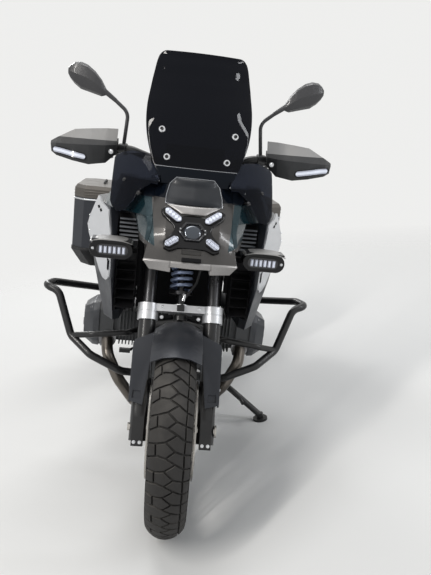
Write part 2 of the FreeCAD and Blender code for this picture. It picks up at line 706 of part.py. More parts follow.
CRANK_Z = size("crank_height")
CYL_Y = -250
CYL_HALF = size("cylinder_half")
CYL_OUT = size("cylinder_reach")
CASE_HALF = 88
crankcase = by_station([
    (-405, [(-60, 330), (60, 330), (CASE_HALF, 400), (CASE_HALF, 560), (50, 595), (-50, 595),
            (-CASE_HALF, 560), (-CASE_HALF, 400)]),
    (-350, [(-80, 240), (80, 240), (CASE_HALF, 330), (CASE_HALF, 600), (60, 625), (-60, 625),
            (-CASE_HALF, 600), (-CASE_HALF, 330)]),
    (-60, [(-90, 222), (90, 222), (CASE_HALF, 320), (CASE_HALF, 600), (60, 625), (-60, 625),
           (-CASE_HALF, 600), (-CASE_HALF, 320)]),
    (60, [(-70, 250), (70, 250), (84, 330), (84, 560), (50, 600), (-50, 600), (-84, 560), (-84, 330)]),
    (185, [(-60, 300), (60, 300), (80, 350), (80, 520), (45, 560), (-45, 560), (-80, 520), (-80, 350)]),
])
crankcase = crankcase.cut(rod((-150,) + FRAME_PIN, (150,) + FRAME_PIN, 15 + GAP))
front_cover = Part.makeCylinder(118, 22, V(0, -400, 470), Y * -1).cut(
    bar_box((-200, -500, 200), (200, -300, 356)))
boss = Part.makeCylinder(44, 14, V(0, -415, 470), Y * -1)
cylinder_seats = [bar_box((side * 100 - 12, CYL_Y - 62, CRANK_Z - 70),
                          (side * 100 + 12, CYL_Y + 62, CRANK_Z + 62))
                  for side in (1, -1)]
stay_lug = rod((60, 190, 316), (92 - GAP, 190, 316), 14)
piece("engine_case", fuse(crankcase, front_cover, boss, stay_lug, *cylinder_seats))

FIN_PITCH, FIN_WALL, FIN_COUNT = 12.5, 4, 8


def rounded_across(box, length, radius):
    """A box with its edges along X rounded."""
    return box.makeFillet(radius, [e for e in box.Edges if abs(e.BoundBox.XLength - length) < 1e-3])


SEAT = 112
cylinder_parts = [slab(((SEAT + CYL_OUT) / 2 + GAP / 2, CYL_Y, CRANK_Z), (CYL_OUT - SEAT - GAP, 116, 116))]
for k in range(FIN_COUNT):
    fin = slab((SEAT + 8 + k * FIN_PITCH, CYL_Y, CRANK_Z), (FIN_WALL, 2 * CYL_HALF, 2 * CYL_HALF))
    cylinder_parts.append(rounded_across(fin, FIN_WALL, 18))
head_block = rounded_across(slab((CYL_OUT + 26, CYL_Y, CRANK_Z), (52, 150, 160)), 52, 22)
cylinder_parts.append(head_block)
PORT = V(CYL_OUT + 18, CYL_Y - 70, CRANK_Z - 48)
intake = rod((CYL_OUT + 10, CYL_Y + 60, CRANK_Z + 50), (178, CYL_Y + 132, CRANK_Z + 96), 26)
cylinder = fuse(*cylinder_parts, intake)
piece("cylinders", both(cylinder))

COVER_IN = CYL_OUT + 52 + GAP
COVER_ROWS = [
    # out from the head, half depth and its corner, half height and its corner
    (0, 80, 60, 84, 60),
    (22, 80, 58, 82, 58),
    (58, 60, 42, 60, 40),
]


def cover_outline(wide, narrow, high, low):
    quarter = [(wide, low), (narrow, high)]
    upper = quarter + [(-y, z) for y, z in reversed(quarter)]
    outline = upper + [(-y, -z) for y, z in upper]
    return [(CYL_Y + y, CRANK_Z + z) for y, z in outline]


cover = by_side([(COVER_IN + out, cover_outline(*row)) for out, *row in COVER_ROWS])
rib = slab((COVER_IN + 31, CYL_Y, CRANK_Z), (62, 14, 110))
piece("head_covers", both(cover.fuse(rib).removeSplitter()))

# Exhaust: a bent pipe from each head into a collector, then a silencer on the right.
MUFFLER = [
    # y, centre x, centre z, half width, half height
    (332, -152, 342, 40, 48),
    (380, -162, 362, 52, 68),
    (700, -186, 446, 54, 74),
    (770, -190, 462, 46, 64),
]
pipes = []
for side in (1, -1):
    pipes.append(tube([(side * PORT.x, CYL_Y - 75 - GAP, PORT.z), (side * PORT.x, -352, PORT.z),
                       (side * (PORT.x - 8), -396, 420), (side * 196, -404, 330), (side * 128, -330, 205),
                       (side * 70, -120, 200)], 21, 60))
collector = bar_box((-95, -130, 172), (95, 80, 214))
tail = tube([(-60, 60, 195), (-112, 150, 225), (-144, 235, 310), (-152, 290, 342),
             (-152, MUFFLER[0][0] - GAP, 342)], 25, 60)
headers = fuse(pipes[0], pipes[1], collector, tail)
piece("exhaust_headers", headers)


def eight_sided(x, z, wide, high, cut=0.45):
    return [(x - wide, z - high * cut), (x - wide * cut, z - high), (x + wide * cut, z - high),
            (x + wide, z - high * cut), (x + wide, z + high * cut), (x + wide * cut, z + high),
            (x - wide * cut, z + high), (x - wide, z + high * cut)]


muffler = by_station([(y, eight_sided(x, z, wide, high)) for y, x, z, wide, high in MUFFLER])
outlet = rod((-190, 740, 455), (-192, 790, 466), 30).cut(rod((-190, 741, 455), (-192, 800, 468), 25))
piece("silencer", muffler.cut(rod((-190, 741, 455), (-192, 800, 468), 25)).fuse(outlet).removeSplitter())

# Swingarm on the left, with the bevel drive at the rear axle and a stay below it.
DRIVE_IN, DRIVE_OUT = 76, 150
drive = Part.makeCylinder(76, DRIVE_OUT - DRIVE_IN, REAR_AXLE + X * DRIVE_IN, X)
drive = drive.cut(Part.makeCylinder(60, 10, REAR_AXLE + X * (DRIVE_IN - 1), X))
stub = Part.makeCylinder(17.9, DRIVE_OUT + 50, REAR_AXLE - X * 50, X)
arm = by_station([
    (162, eight_sided(112, 400, 18, 40)),
    (230, eight_sided(120, 396, 24, 42)),
    (420, eight_sided(128, 378, 30, 46)),
    (640, eight_sided(122, 346, 28, 48)),
    (740, eight_sided(114, 330, 30, 56)),
])
pivot = rod((81.5, 178, 400), (150, 178, 400), 30)
SHOCK_FOOT = V(74, 300, 400)
shock_boss = rod(SHOCK_FOOT + X * (EYE_REACH + GAP), SHOCK_FOOT + X * 30, 14)
swingarm = fuse(drive, stub, arm, pivot)
stay = fuse(rod((112, 672, 246), (104, 190, 316), 9), rod((100, 672, 246), (124, 672, 246), 16),
            rod((92, 190, 316), (116, 190, 316), 16))
stay_pin = rod((76, 672, 246), (150, 672, 246), 8)
drive_lug = bar_box((126, 656, 230), (140, 720, 300))
swingarm = fuse(swingarm, drive_lug, stay_pin, stay, shock_boss)
rear_disc_middle = size("disc_offset") + size("disc_thickness") / 2
caliper = slab((rear_disc_middle, 0, 122), (48, 96, 52)).cut(slab((rear_disc_middle, 0, 110), (16, 120, 62)))
caliper = caliper.fuse(bar_box((84, -40, 84), (92, 30, 122)))
caliper.rotate(V(), X, 62)
swingarm = swingarm.fuse(caliper.translated(REAR_AXLE)).removeSplitter()
piece("swingarm", swingarm)

# Suspension: coil springs round their dampers.


def coil(start, end, reach, wire, turns):
    """A helical spring between two points."""
    start, end = V(*start), V(*end)
    span = end - start
    spine = Part.makeHelix(span.Length / turns, span.Length, reach)
    profile = Part.Wire([Part.makeCircle(wire, V(reach, 0, 0), Y)])
    spring = spine.makePipeShell([profile], True, False)
    spring.Placement = FreeCAD.Placement(start, FreeCAD.Rotation(Z, span))
    return spring


def strut(foot, top, reach, wire, turns, body):
    """A damper with spring seats, an eye at each end and its coil."""
    foot, top = V(*foot), V(*top)
    along = (top - foot).normalize()
    low, high = foot + along * 62, top - along * 58
    parts = [rod(foot, top, body),
             rod(low - along * 12, low, reach + wire + 1),
             rod(high, high + along * 12, reach + wire + 1),
             rod(foot - X * 18, foot + X * 18, EYE_REACH),
             rod(top - X * 18, top + X * 18, EYE_REACH)]
    gap = wire + GAP
    spring = coil(low + along * gap, high - along * gap, reach, wire, turns)
    return Part.makeCompound([fuse(*parts), spring])


BALL_LOW = 352
front_arm = [fork_post(23, BALL_LOW, BRIDGE_LOW - GAP, 0, 0)]
for side in (1, -1):
    arm_route = [fork_point(BALL_LOW + 4), V(side * 92, -462, 572), V(side * 112, -372, 560)]
    front_arm.append(tube(arm_route, 13, 60))
    front_arm.append(rod((side * (CASE_HALF + GAP), -372, 560), (side * 126, -372, 560), 17))
front_arm.append(rod((-86, -472, 574), (86, -472, 574), 12))
front_arm.append(rod((0, -474, 574), (0, -474, 616 - GAP), 12))
front_arm = fuse(*front_arm)
piece("front_arm", front_arm)
piece("front_shock", strut((0, -474, 634), (0, -400, 846), 34, 6, 6, 13))
piece("rear_shock", strut(SHOCK_FOOT, SHOCK_TOP, 32, 6, 7, 13))

# Bodywork: tank cover, flanks with ducts, nose with its beak, and the side cowls.

TANK_ROWS = [
    # y, top z, half width at the bottom, half width at the top, crown width
    (-298, 1032, 116, 92, 40),
    (-220, 1022, 150, 122, 60),
    (-120, 975, 158, 120, 60),
    (-52, 925, 142, 96, 50),
]


def frame_top(y):
    """The height of the frame plates' upper edge."""
    for (y0, z0), (y1, z1) in zip(PLATE_EDGE[:2], PLATE_EDGE[1:3]):
        if y <= y1:
            return z0 + (z1 - z0) * (y - y0) / (y1 - y0)


def tank_outline(low, high, wide, upper, crown):
    return symmetric([(0, high), (crown, high - 3), (upper, high - 22), (wide, low + 26), (wide - 14, low)])


tank = by_station([(y, tank_outline(frame_top(y) + GAP, high, wide, upper, crown))
                   for y, high, wide, upper, crown in TANK_ROWS])
piece("tank_cover", tank)

FLANK_ROWS = [
    # z, outer line from front to rear, then the inner line back
    (600, [(225, -545), (258, -490), (268, -420), (252, -368),
           (205, -335), (188, -340), (196, -420), (205, -520)]),
    (760, [(235, -622), (300, -470), (315, -330), (280, -180),
           (200, -70), (165, -70), (168, -330), (200, -585)]),
    (900, [(240, -618), (330, -432), (348, -300), (298, -120),
           (205, -48), (165, -48), (168, -330), (200, -585)]),
    (985, [(256, -560), (312, -432), (318, -300), (268, -130),
           (196, -56), (168, -56), (172, -300), (205, -540)]),
]
flank = by_height(FLANK_ROWS)
DUCT_LOW, DUCT_HIGH, DUCT_END = 640, 965, -486
DUCT = by_station([(y, [(150, DUCT_LOW), (out, DUCT_LOW), (out, DUCT_HIGH), (150, DUCT_HIGH)])
                   for y, out in ((-700, 229), (DUCT_END, 224))])
flank = flank.cut(DUCT)
LAMP_LUG_FRONT = -640
flank = flank.fuse(bar_box((208, LAMP_LUG_FRONT, 852), (236, -585, 876))).removeSplitter()
piece("tank_flanks", both(flank))

# The nose: cowl with its beak, a lamp pocket and a panel above it.
NOSE_ROWS = [
    # z, half outline from the middle of the front to the rear corner
    (846, [(0, -838), (64, -828), (118, -806), (122, -700), (96, -640)]),
    (872, [(0, -832), (70, -826), (136, -818), (132, -690), (110, -625)]),
    (960, [(0, -786), (80, -773), (118, -752), (158, -650), (120, -590)]),
    (1082, [(0, -668), (77, -659), (120, -620), (170, -560), (120, -530)]),
]


def nose_point(z, column, out=0.0):
    """A point of the nose's outline at any height, moved out along the outline's normal."""
    for (z0, row0), (z1, row1) in zip(NOSE_ROWS, NOSE_ROWS[1:]):
        if z <= z1:
            t = (z - z0) / (z1 - z0)
            (x0, y0), (x1, y1) = row0[column], row1[column]
            return (x0 + (x1 - x0) * t + (out if column else 0), y0 + (y1 - y0) * t - out)


LAMP_CENTRE = V(0, -776, 955)
LAMP_TILT = FreeCAD.Rotation(X, -39)
LAMP_OUTLINE = symmetric([(0, 54), (38, 54), (62, 76), (80, 84), (96, 72), (90, 52), (58, 20), (54, 2),
                          (66, -14), (84, -34), (80, -56), (64, -64), (40, -54), (0, -54)])
LAMP_DEEP = 60


def on_lamp(shape):
    """A shape drawn facing -Y about the lamp's middle, leaned back onto the nose."""
    out = shape.copy()
    out.Placement = FreeCAD.Placement(LAMP_CENTRE, LAMP_TILT).multiply(out.Placement)
    return out


def lamp_prism(grow, front, back):
    outline = ring([(x, front, z) for x, z in LAMP_OUTLINE])
    if grow:
        outline = outline.makeOffset2D(grow, 2)
    return Part.Face(outline).extrude(V(0, back - front, 0))


cowl = by_height([(z, symmetric(half)) for z, half in NOSE_ROWS])
cowl = cowl.cut(on_lamp(lamp_prism(GAP, -120, LAMP_DEEP + GAP)))
LIP_HALF, LIP_TOP, LIP_LOW = 57, 912, 860
SLOT = bar_box((-29, -860, 897), (29, -806, 910))
under_lip = bar_box((-LIP_HALF, -860, 840), (LIP_HALF, -700, LIP_LOW))
cowl = cowl.cut(SLOT).cut(under_lip)
for side in (1, -1):
    gap_line = [(side * 33, LIP_TOP), (side * 36, LIP_TOP), (side * 60, 880), (side * 62, LIP_LOW - 2),
                (side * 58, LIP_LOW - 2), (side * 56, 880)]
    cowl = cowl.cut(prism([(x, -860, z) for x, z in gap_line], (0, 36, 0)))
piece("nose_cowl", cowl)
LAMP_FACE = -4
piece("headlamp", on_lamp(lamp_prism(0, LAMP_FACE, LAMP_DEEP)))

# Four separate light bars round a six-sided projector, all on the lamp's face.
BAR_FRONT, BAR_WIDE = LAMP_FACE - 7, 16
lights = []
for side in (1, -1):
    for inner, outer in (((30, 30), (82, 70)), ((36, -20), (74, -48))):
        start, end = V(side * inner[0], 0, inner[1]), V(side * outer[0], 0, outer[1])
        bar_piece = slab((0, 0, 0), ((end - start).Length, LAMP_FACE - GAP - BAR_FRONT, BAR_WIDE))
        angle = math.degrees(math.atan2(end.z - start.z, end.x - start.x))
        middle = (start + end) * 0.5 + V(0, (LAMP_FACE - GAP + BAR_FRONT) / 2, 0)
        laid = FreeCAD.Placement(middle, FreeCAD.Rotation(Y, -angle))
        bar_piece.Placement = laid.multiply(bar_piece.Placement)
        lights.append(on_lamp(bar_piece))
hexagon = prism([(36 * math.cos(math.radians(60 * k)), BAR_FRONT, 30 * math.sin(math.radians(60 * k)))
                 for k in range(6)], (0, LAMP_FACE - GAP - BAR_FRONT, 0))
well = prism([(28 * math.cos(math.radians(60 * k)), BAR_FRONT, 23 * math.sin(math.radians(60 * k)))
              for k in range(6)], (0, 3, 0))
lens = Part.makeSphere(26, V(0, BAR_FRONT + 24, 0)).common(slab((0, BAR_FRONT + 2, 0), (60, 6, 60)))
lights.append(on_lamp(hexagon.cut(well).fuse(lens)))
piece("lamp_bars", Part.makeCompound(lights))

# A domed panel above the lamp, narrowing to its lower edge.


def nose_front(x, z, out):
    """A place on the nose's front, a little out from it."""
    middle, corner = nose_point(z, 0), nose_point(z, 1)
    return middle[1] + (corner[1] - middle[1]) * abs(x) / corner[0] - out


def panel_outline(z, half, dome):
    """The panel's section: shares of its half width and of its dome, then its flat back."""
    front = [(half * share, nose_front(half * share, z, 3 + dome * rise))
             for share, rise in ((0, 1), (0.55, 0.8), (0.9, 0.3))]
    edge = [(half, nose_front(half, z, GAP + 2)), (half, nose_front(half, z, GAP))]
    return symmetric(front + edge + [(0, nose_front(0, z, GAP))])


PANEL_ROWS = [(1003, 36, 4), (1016, 62, 8), (1028, 86, 10), (1050, 84, 10), (1079, 76, 6)]
piece("nose_panel", by_height([(z, panel_outline(z, half, dome)) for z, half, dome in PANEL_ROWS]))

# The side cowls lie along the nose: a low part before the duct, a high part back over the flank.
COWL_ROWS = [
    # z, front outer corner, widest point, rear inner corner
    (912, (137, -778), (152, -716), (154, -668)),
    (960, (132, -746), (162, -684), (169, -642)),
    (985, (136, -722), (170, -660), (180, -620)),
]
COWL_TOP_ROWS = [
    # z, front outer corner, widest point, rear outer corner, rear inner corner
    (985 + GAP, (137, -720), (246, -604), (284, -470), (206, -450)),
    (1082, (160, -622), (216, -540), (232, -452), (186, -436)),
]
COWL_GAP = 2 * GAP
side_cowls = []
for rows in (COWL_ROWS, COWL_TOP_ROWS):
    solid = by_height([(z, [nose_point(z, 2, GAP)] + list(outline) + [nose_point(z, 3, GAP)])
                       for z, *outline in rows])
    solid = solid.translated(V(COWL_GAP, 0, 0))
    side_cowls += [solid, mirrored(solid)]
piece("side_cowls", Part.makeCompound(side_cowls))

carrier = fuse(rod((PLATE_OUT + GAP, -328, 925), (148, -328, 925), 14),
               tube([(138, -328, 925), (153, -400, 950), (150, -500, 966), (112, -552, 968),
                     (112, -581.5, 968)], 9, 30))
carriers = [carrier, mirrored(carrier)]
for y, z in ((-200, 850), (-110, 800)):
    link = rod((PLATE_OUT + GAP, y, z), (168 - 3 * (y + 330) / 260.0 - GAP, y, z), 10)
    carriers += [link, mirrored(link)]
piece("nose_carrier", Part.makeCompound(carriers))

SCREEN_ROWS = [
    # z, y at the middle, half width, how far the edges lie back
    (1082 + GAP, -664, 88, 20),
    (1150, -646, 124, 31),
    (1225, -619, 160, 42),
    (1300, -584, 167, 45),
    (1385, -537, 155, 41),
    (1450, -502, 137, 34),
    (1478, -488, 116, 26),
    (1492, -481, 88, 15),
    (1500, -477, 46, 4),
]


def band(z, y, half, back, wall):
    """A closed curved strip, drawn by two arcs."""
    outer = Part.Arc(V(-half, y + back, z), V(0, y, z), V(half, y + back, z)).toShape()
    inner = Part.Arc(V(half, y + back + wall, z), V(0, y + wall, z), V(-half, y + back + wall, z)).toShape()
    ends = [Part.LineSegment(V(side * half, y + back, z), V(side * half, y + back + wall, z)).toShape()
            for side in (1, -1)]
    return Part.Wire([outer, ends[0], inner, ends[1]])


screen = Part.makeLoft([band(z, y, half, back, 5) for z, y, half, back in SCREEN_ROWS], True, True)
piece("windscreen", screen)

deflector = by_height([(1052, [(196, -640), (246, -598), (250, -592), (200, -634)]),
                       (1120, [(196, -636), (262, -592), (266, -586), (200, -630)]),
                       (1178, [(200, -612), (238, -588), (241, -583), (203, -606)])])
deflector_arm = rod((196, -580, 1096), (218, -626, 1100), 6)
deflector_foot = rod((196, -580, 1082 + GAP), (196, -580, 1102), 8)
piece("deflectors", both(fuse(deflector, deflector_arm, deflector_foot)))

display = slab((0, -520, 1150), (190, 22, 96), FreeCAD.Rotation(X, -40))
display_stem = tube([(0, -560, 1082 + GAP), (0, -560, 1110), (0, -528, 1140)], 12, 16)
piece("instrument", fuse(display, display_stem))

# Radiators in the ducts, with slats before them: wide ones below the lamps, close ones above them.
RADIATOR_TOP = 845
radiator = bar_box((156, -522, DUCT_LOW + 5), (220, DUCT_END - GAP, RADIATOR_TOP))
piece("radiators", both(radiator))
slats = [slab((190, -560, DUCT_LOW + 24 + 32 * k), (62, 40, 3), FreeCAD.Rotation(X, 25)) for k in range(6)]
slats += [slab((190, -574, 893 + 13 * k), (62, 30, 2.5), FreeCAD.Rotation(X, 25)) for k in range(6)]
slats += [bar_box((low, -566, DUCT_LOW + GAP), (high, -554, DUCT_HIGH - GAP))
          for low, high in ((158, 161), (219, 225))]
piece("duct_louvres", both(fuse(*slats)))

# Silver plates over the flanks' front corners.


def flank_point(z, column, out):
    """A point on a flank's front face, by its share of the way out from the inner edge."""
    rows = [pair for pair in zip(FLANK_ROWS, FLANK_ROWS[1:]) if z <= pair[1][0]] or [FLANK_ROWS[-2:]]
    row0, row1 = rows[0]
    t = (z - row0[0]) / float(row1[0] - row0[0])
    near = [V(*row0[1][k], 0) + (V(*row1[1][k], 0) - V(*row0[1][k], 0)) * t for k in (0, 1)]
    normal = (near[1] - near[0]).cross(Z).normalize()
    point = near[0] + (near[1] - near[0]) * column + normal * out
    return (point.x, point.y)


SILVER_WALL = 6
SILVER_ROWS = [
    # z, inner and outer edge as shares of the face's width
    (746, 0.22, 0.44),
    (764, 0.04, 0.60),
    (790, 0.02, 0.74),
    (830, 0.02, 0.90),
    (870, 0.02, 1.02),
    (900, 0.02, 1.03),
    (930, 0.02, 1.02),
    (972, 0.04, 0.93),
    (985, 0.50, 0.87),
    (1000, 0.68, 0.78),
]
silver = by_height([(z, [flank_point(z, inner, GAP + 0.4), flank_point(z, outer, GAP + 0.4),
                         flank_point(z, outer, SILVER_WALL), flank_point(z, inner, SILVER_WALL)])
                    for z, inner, outer in SILVER_ROWS])
slot_low, slot_high = V(*flank_point(788, 0.16, 0), 788), V(*flank_point(818, 0.16, 0), 818)
for end in (slot_low, slot_high):
    silver = silver.cut(rod(end - Y * 30, end + Y * 30, 4))
silver = silver.cut(bar_box((slot_low.x - 4, slot_low.y - 30, slot_low.z),
                            (slot_low.x + 4, slot_low.y + 30, slot_high.z)))
for z, column in ((968, 0.72), (960, 0.57)):
    at = V(*flank_point(z, column, 0), z)
    silver = silver.cut(slab(at, (9, 60, 9), FreeCAD.Rotation(Y, 30)))
piece("flank_plates", both(silver))

# Auxiliary lamps before the flanks.
LAMP_PILL = V(236, -668, 868)
pill = fuse(slab(LAMP_PILL, (76, 46, 56)), Part.makeCylinder(28, 46, LAMP_PILL + V(-38, -23, 0), Y),
            Part.makeCylinder(28, 46, LAMP_PILL + V(38, -23, 0), Y),
            slab(LAMP_PILL + V(0, -6, 30), (120, 62, 5)),
            bar_box((208, -650, 852), (236, LAMP_LUG_FRONT - GAP, 876)))
piece("aux_lamps", both(pill))

# Engine guards.
R_GUARD = size("guard_radius")
guard_low = [(106, -372, 345), (186, -448, 378), (300, -446, 432), (378, -388, 480), (436, -336, 628),
             (488, -318, 642), (470, -236, 636), (300, -96, 590), (140, -56, 560),
             (CASE_HALF + 0.6, -56, 560)]
guard_main = tube(guard_low, R_GUARD, 46)
guard_cross = tube([(372, -392, 482), (300, -440, 506), (172, -424, 518), (140, -376, 516),
                    (CASE_HALF + 0.6, -376, 516)], 11, 30)
boss_low = rod((CASE_HALF + GAP + 0.6, -372, 345), (112, -372, 345), 19)
piece("crash_bars", both(fuse(guard_main, guard_cross, boss_low)))

# Below the engine.
skid = by_side([(x, [(-418, 268), (-340, 172), (112, 158), (112, 152), (-343, 166), (-424, 266)])
                for x in (-132, 132)])
posts = [rod((side * 26, y, 158), (side * 26, y, top), 8)
         for side in (1, -1) for y, top in ((-300, 233), (-175, 227))]
posts += [rod((side * 36, 98, 154), (side * 36, 98, 262), 7) for side in (1, -1)]
piece("skid_plate", fuse(skid, *posts))

peg_plate = bar_box((PLATE_OUT + GAP, 96, 300), (PLATE_OUT + 8, 140, 450))
peg = fuse(peg_plate, rod((PLATE_OUT + 2, 112, 318), (262, 104, 318), 11),
           bar_box((160, 92, 312), (262, 122, 332)))
pedal = tube([(PLATE_OUT + 2, 118, 344), (142, 116, 344), (150, 60, 338), (152, -40, 322),
              (176, -66, 318)], 6, 18)
toe = bar_box((168, -76, 310), (214, -56, 326))
piece("footrests", both(fuse(peg, pedal, toe)))

# Seats, rear frame and rack.
SEAT_ROWS = [
    # y, bottom z, top z, half width
    (-46, 853, 898, 92),
    (40, 838, 874, 112),
    (170, 828, 866, 148),
    (300, 828, 880, 156),
    (334, 828, 904, 150),
]
PILLION_ROWS = [
    (338, 828, 908, 148),
    (400, 828, 926, 146),
    (560, 832, 928, 132),
    (636, 846, 922, 112),
]


def cushion_outline(low, high, wide):
    return symmetric([(0, high), (wide * 0.6, high - 3), (wide, high - 22), (wide - 4, low)])


for name, rows in (("rider_seat", SEAT_ROWS), ("pillion_seat", PILLION_ROWS)):
    piece(name, by_station([(y, cushion_outline(low, high, wide)) for y, low, high, wide in rows]))

R_SUB = size("sub_tube_radius")
RAIL_X = PLATE_OUT + GAP + R_SUB
RAIL_Z = 828 - GAP - R_SUB
rail = tube([(RAIL_X, -20, 786), (RAIL_X, 150, RAIL_Z), (RAIL_X, 560, RAIL_Z), (118, 700, 836)], R_SUB, 120)
brace = tube([(RAIL_X, 118, 600), (RAIL_X, 300, 730), (RAIL_X, 460, RAIL_Z - 4)], R_SUB, 100)
rear_frame = [rail, mirrored(rail), brace, mirrored(brace)]
rear_frame += [rod((-RAIL_X, y, z), (RAIL_X, y, z), 9) for y, z in ((260, RAIL_Z), (520, RAIL_Z), (690, 834))]
CASE_IN = size("case_inner")
R_HOOP = 9
HOOP_X = CASE_IN - R_HOOP - GAP
hoop = tube([(RAIL_X, 440, RAIL_Z), (HOOP_X, 462, 800), (HOOP_X, 462, 630), (HOOP_X, 800, 630),
             (HOOP_X, 800, 800), (118, 690, 834)], R_HOOP, 40)
rear_frame += [hoop, mirrored(hoop)]
piece("subframe_rear", fuse(*rear_frame))

RACK_Z = 905
deck = bar_box((-84, 650, RACK_Z), (84, 880, RACK_Z + 6))
deck = deck.makeFillet(24, [e for e in deck.Edges if abs(e.BoundBox.ZLength - 6) < 1e-3])
BOLT_CENTRE, BOLT_RADIUS = (0, 770), 60
bolts = [Part.makeCylinder(3.3, 20, V(BOLT_RADIUS * math.cos(math.radians(45 + 90 * k)),
                                      BOLT_CENTRE[1] + BOLT_RADIUS * math.sin(math.radians(45 + 90 * k)),
                                      RACK_Z - 5), Z) for k in range(4)]
rack_rail = tube([(-96, 648, 893), (-142, 700, 893), (-130, 900, 893), (-60, 938, 893), (60, 938, 893),
                  (130, 900, 893), (142, 700, 893), (96, 648, 893)], 10, 44)
cross_bars = [rod((-134, y, 893), (134, y, 893), 9) for y in (690, 850)]
legs = [rod((side * 118, y, z), (side * 118, y, 893), 9) for side in (1, -1) for y, z in ((698, 848 + GAP),)]
rack = fuse(rack_rail, deck.fuse(bar_box((-40, 640, RACK_Z - 14), (40, 935, RACK_Z + 1))), *cross_bars, *legs)
for bolt in bolts:
    rack = rack.cut(bolt)
piece("luggage_rack", rack)

lens = bar_box((-74, 800, 846), (74, 892, 883 - 6))
piece("tail_light", fuse(lens, rod((0, 818, 860), (0, 818, 891 - GAP), 11)))
arm_down = by_station([(800, eight_sided(0, 828, 34, 16)), (900, eight_sided(0, 818, 30, 14)),
                       (1150, eight_sided(0, 700, 26, 10))])
plate_back = slab((0, 1162, 672), (190, 6, 150), FreeCAD.Rotation(X, 22))
signal = rod((-150, 1080, 738), (150, 1080, 738), 7)
signal_ends = [Part.makeSphere(20, V(side * 160, 1080, 738)) for side in (1, -1)]
stem = rod((0, 850, 820), (0, 850, 846 - GAP), 14)
piece("plate_holder", fuse(arm_down, plate_back, signal, stem, *signal_ends))

# Side cases.
CASE_OUT, SEAM, WALL = size("case_outer"), size("case_seam"), size("case_wall")
CASE_FRONT = 410
CASE_REAR = CASE_FRONT + size("case_length")


def case_outline(inset, shrink=0.0):
    """The case seen from above, its outer corners cut, at an inset from the full size."""
    low_x, high_x = CASE_IN + inset, CASE_OUT - inset - shrink
    front, rear = CASE_FRONT + inset + shrink * 0.5, CASE_REAR - inset - shrink * 0.5
    return [(low_x, front), (high_x - 50, front), (high_x, front + 50), (high_x, rear - 50),
            (high_x - 50, rear), (low_x, rear)]


def case_shell(inset, floor, top):
    return by_height([(floor, case_outline(inset, 46)), (floor + 70, case_outline(inset)),
                      (top, case_outline(inset))])


def lid_shell(inset, seam, top):
    return by_height([(seam, case_outline(inset)), (top - 16, case_outline(inset)),
                      (top, case_outline(inset + 10))])


FLOOR = 560
LID_TOP = SEAM + size("lid_height")
HINGE_X, HINGE_R = CASE_IN - 5, 4.5
box = case_shell(0, FLOOR, SEAM).cut(case_shell(WALL, FLOOR + WALL, SEAM + 1))
lid = lid_shell(0, SEAM + GAP, LID_TOP).cut(lid_shell(WALL, SEAM - 1, LID_TOP - WALL))
for y0, y1, moves in ((470, 500, 0), (500 + GAP, 530, 1), (730, 760 - GAP, 1), (760, 790, 0)):
    knuckle = rod((HINGE_X, y0, SEAM), (HINGE_X, y1, SEAM), HINGE_R)
    if moves:
        tab = bar_box((HINGE_X, y0, SEAM + 2), (CASE_IN + 2, y1, SEAM + HINGE_R))
        lid = lid.fuse(knuckle.fuse(tab))
    else:
        tab = bar_box((HINGE_X, y0, SEAM - HINGE_R), (CASE_IN + 2, y1, SEAM - 2))
        box = box.fuse(knuckle.fuse(tab))
box = box.removeSplitter()
piece("pannier_boxes", both(box))
piece("pannier_lid_left", lid.removeSplitter())
piece("pannier_lid_right", mirrored(lid.removeSplitter()))

# Side stand on a tilted pin.
STAND_PIVOT = V(160, -60, 262)
STAND_AXIS = V(0.540, -0.0775, 0.838).normalize()
TILT = math.tan(math.radians(size("lean_angle")))
foot_x = size("stand_reach")
drop = (CROWN_DROP + 0.2) / math.cos(math.radians(size("lean_angle")))
FOOT = V(foot_x, -170, foot_x * TILT - drop)
eye = Part.makeCylinder(18, 20, STAND_PIVOT - STAND_AXIS * 10, STAND_AXIS)
UP = FreeCAD.Rotation(Y, size("lean_angle")).inverted().multVec(Z)
ankle = FOOT + UP * 20
along_shin = (ankle - STAND_PIVOT).normalize()
knee = STAND_PIVOT + (ankle - STAND_PIVOT) * 0.5 + V(4, -6, 0)
shin = tube([STAND_PIVOT + along_shin * 32, knee, ankle], 13, 200)
shoe = Part.makeCylinder(30, 9, FOOT, UP).fuse(Part.makeCylinder(14, 30, FOOT, UP))
tab_root = STAND_PIVOT + (ankle - STAND_PIVOT) * 0.62
tab = rod(tab_root, tab_root + V(10, -52, -6), 7)
shank = rod(STAND_PIVOT + along_shin * 12, STAND_PIVOT + along_shin * 44, 9.5)
stand = fuse(shin, shank, eye, shoe, tab).cut(
    Part.makeCylinder(8 + PLAY, 60, STAND_PIVOT - STAND_AXIS * 30, STAND_AXIS))
piece("side_stand_leg", stand)
INBOARD = V(-0.8417, -0.0497, 0.5377)
pin = Part.makeCylinder(8, 42, STAND_PIVOT - STAND_AXIS * 21, STAND_AXIS)
across_web = FreeCAD.Rotation(INBOARD, STAND_AXIS.cross(INBOARD), STAND_AXIS, "XYZ")
bracket = [pin]
for low in (10.5, -19.5):
    bracket.append(Part.makeCylinder(20, 9, STAND_PIVOT + STAND_AXIS * low, STAND_AXIS))
    bracket.append(slab(STAND_PIVOT + INBOARD * 20 + STAND_AXIS * (low + 4.5), (40, 34, 9), across_web))
bracket.append(slab(STAND_PIVOT + INBOARD * 62, (70, 40, 39), across_web))
bracket = fuse(*bracket).cut(bar_box((-100, -300, 100), (CASE_HALF + 1.2, 300, 600)))
piece("stand_bracket", bracket)


# Every feature has to have come out whole before anything is written.
DOC.recompute()
for obj in DOC.Objects:
    if "Invalid" in obj.State or "Error" in obj.State:
        raise RuntimeError("feature failed: " + obj.Label)
for obj in PIECES:
    if obj.Shape.isNull() or not obj.Shape.isValid():
        raise RuntimeError("bad shape: " + obj.Label)

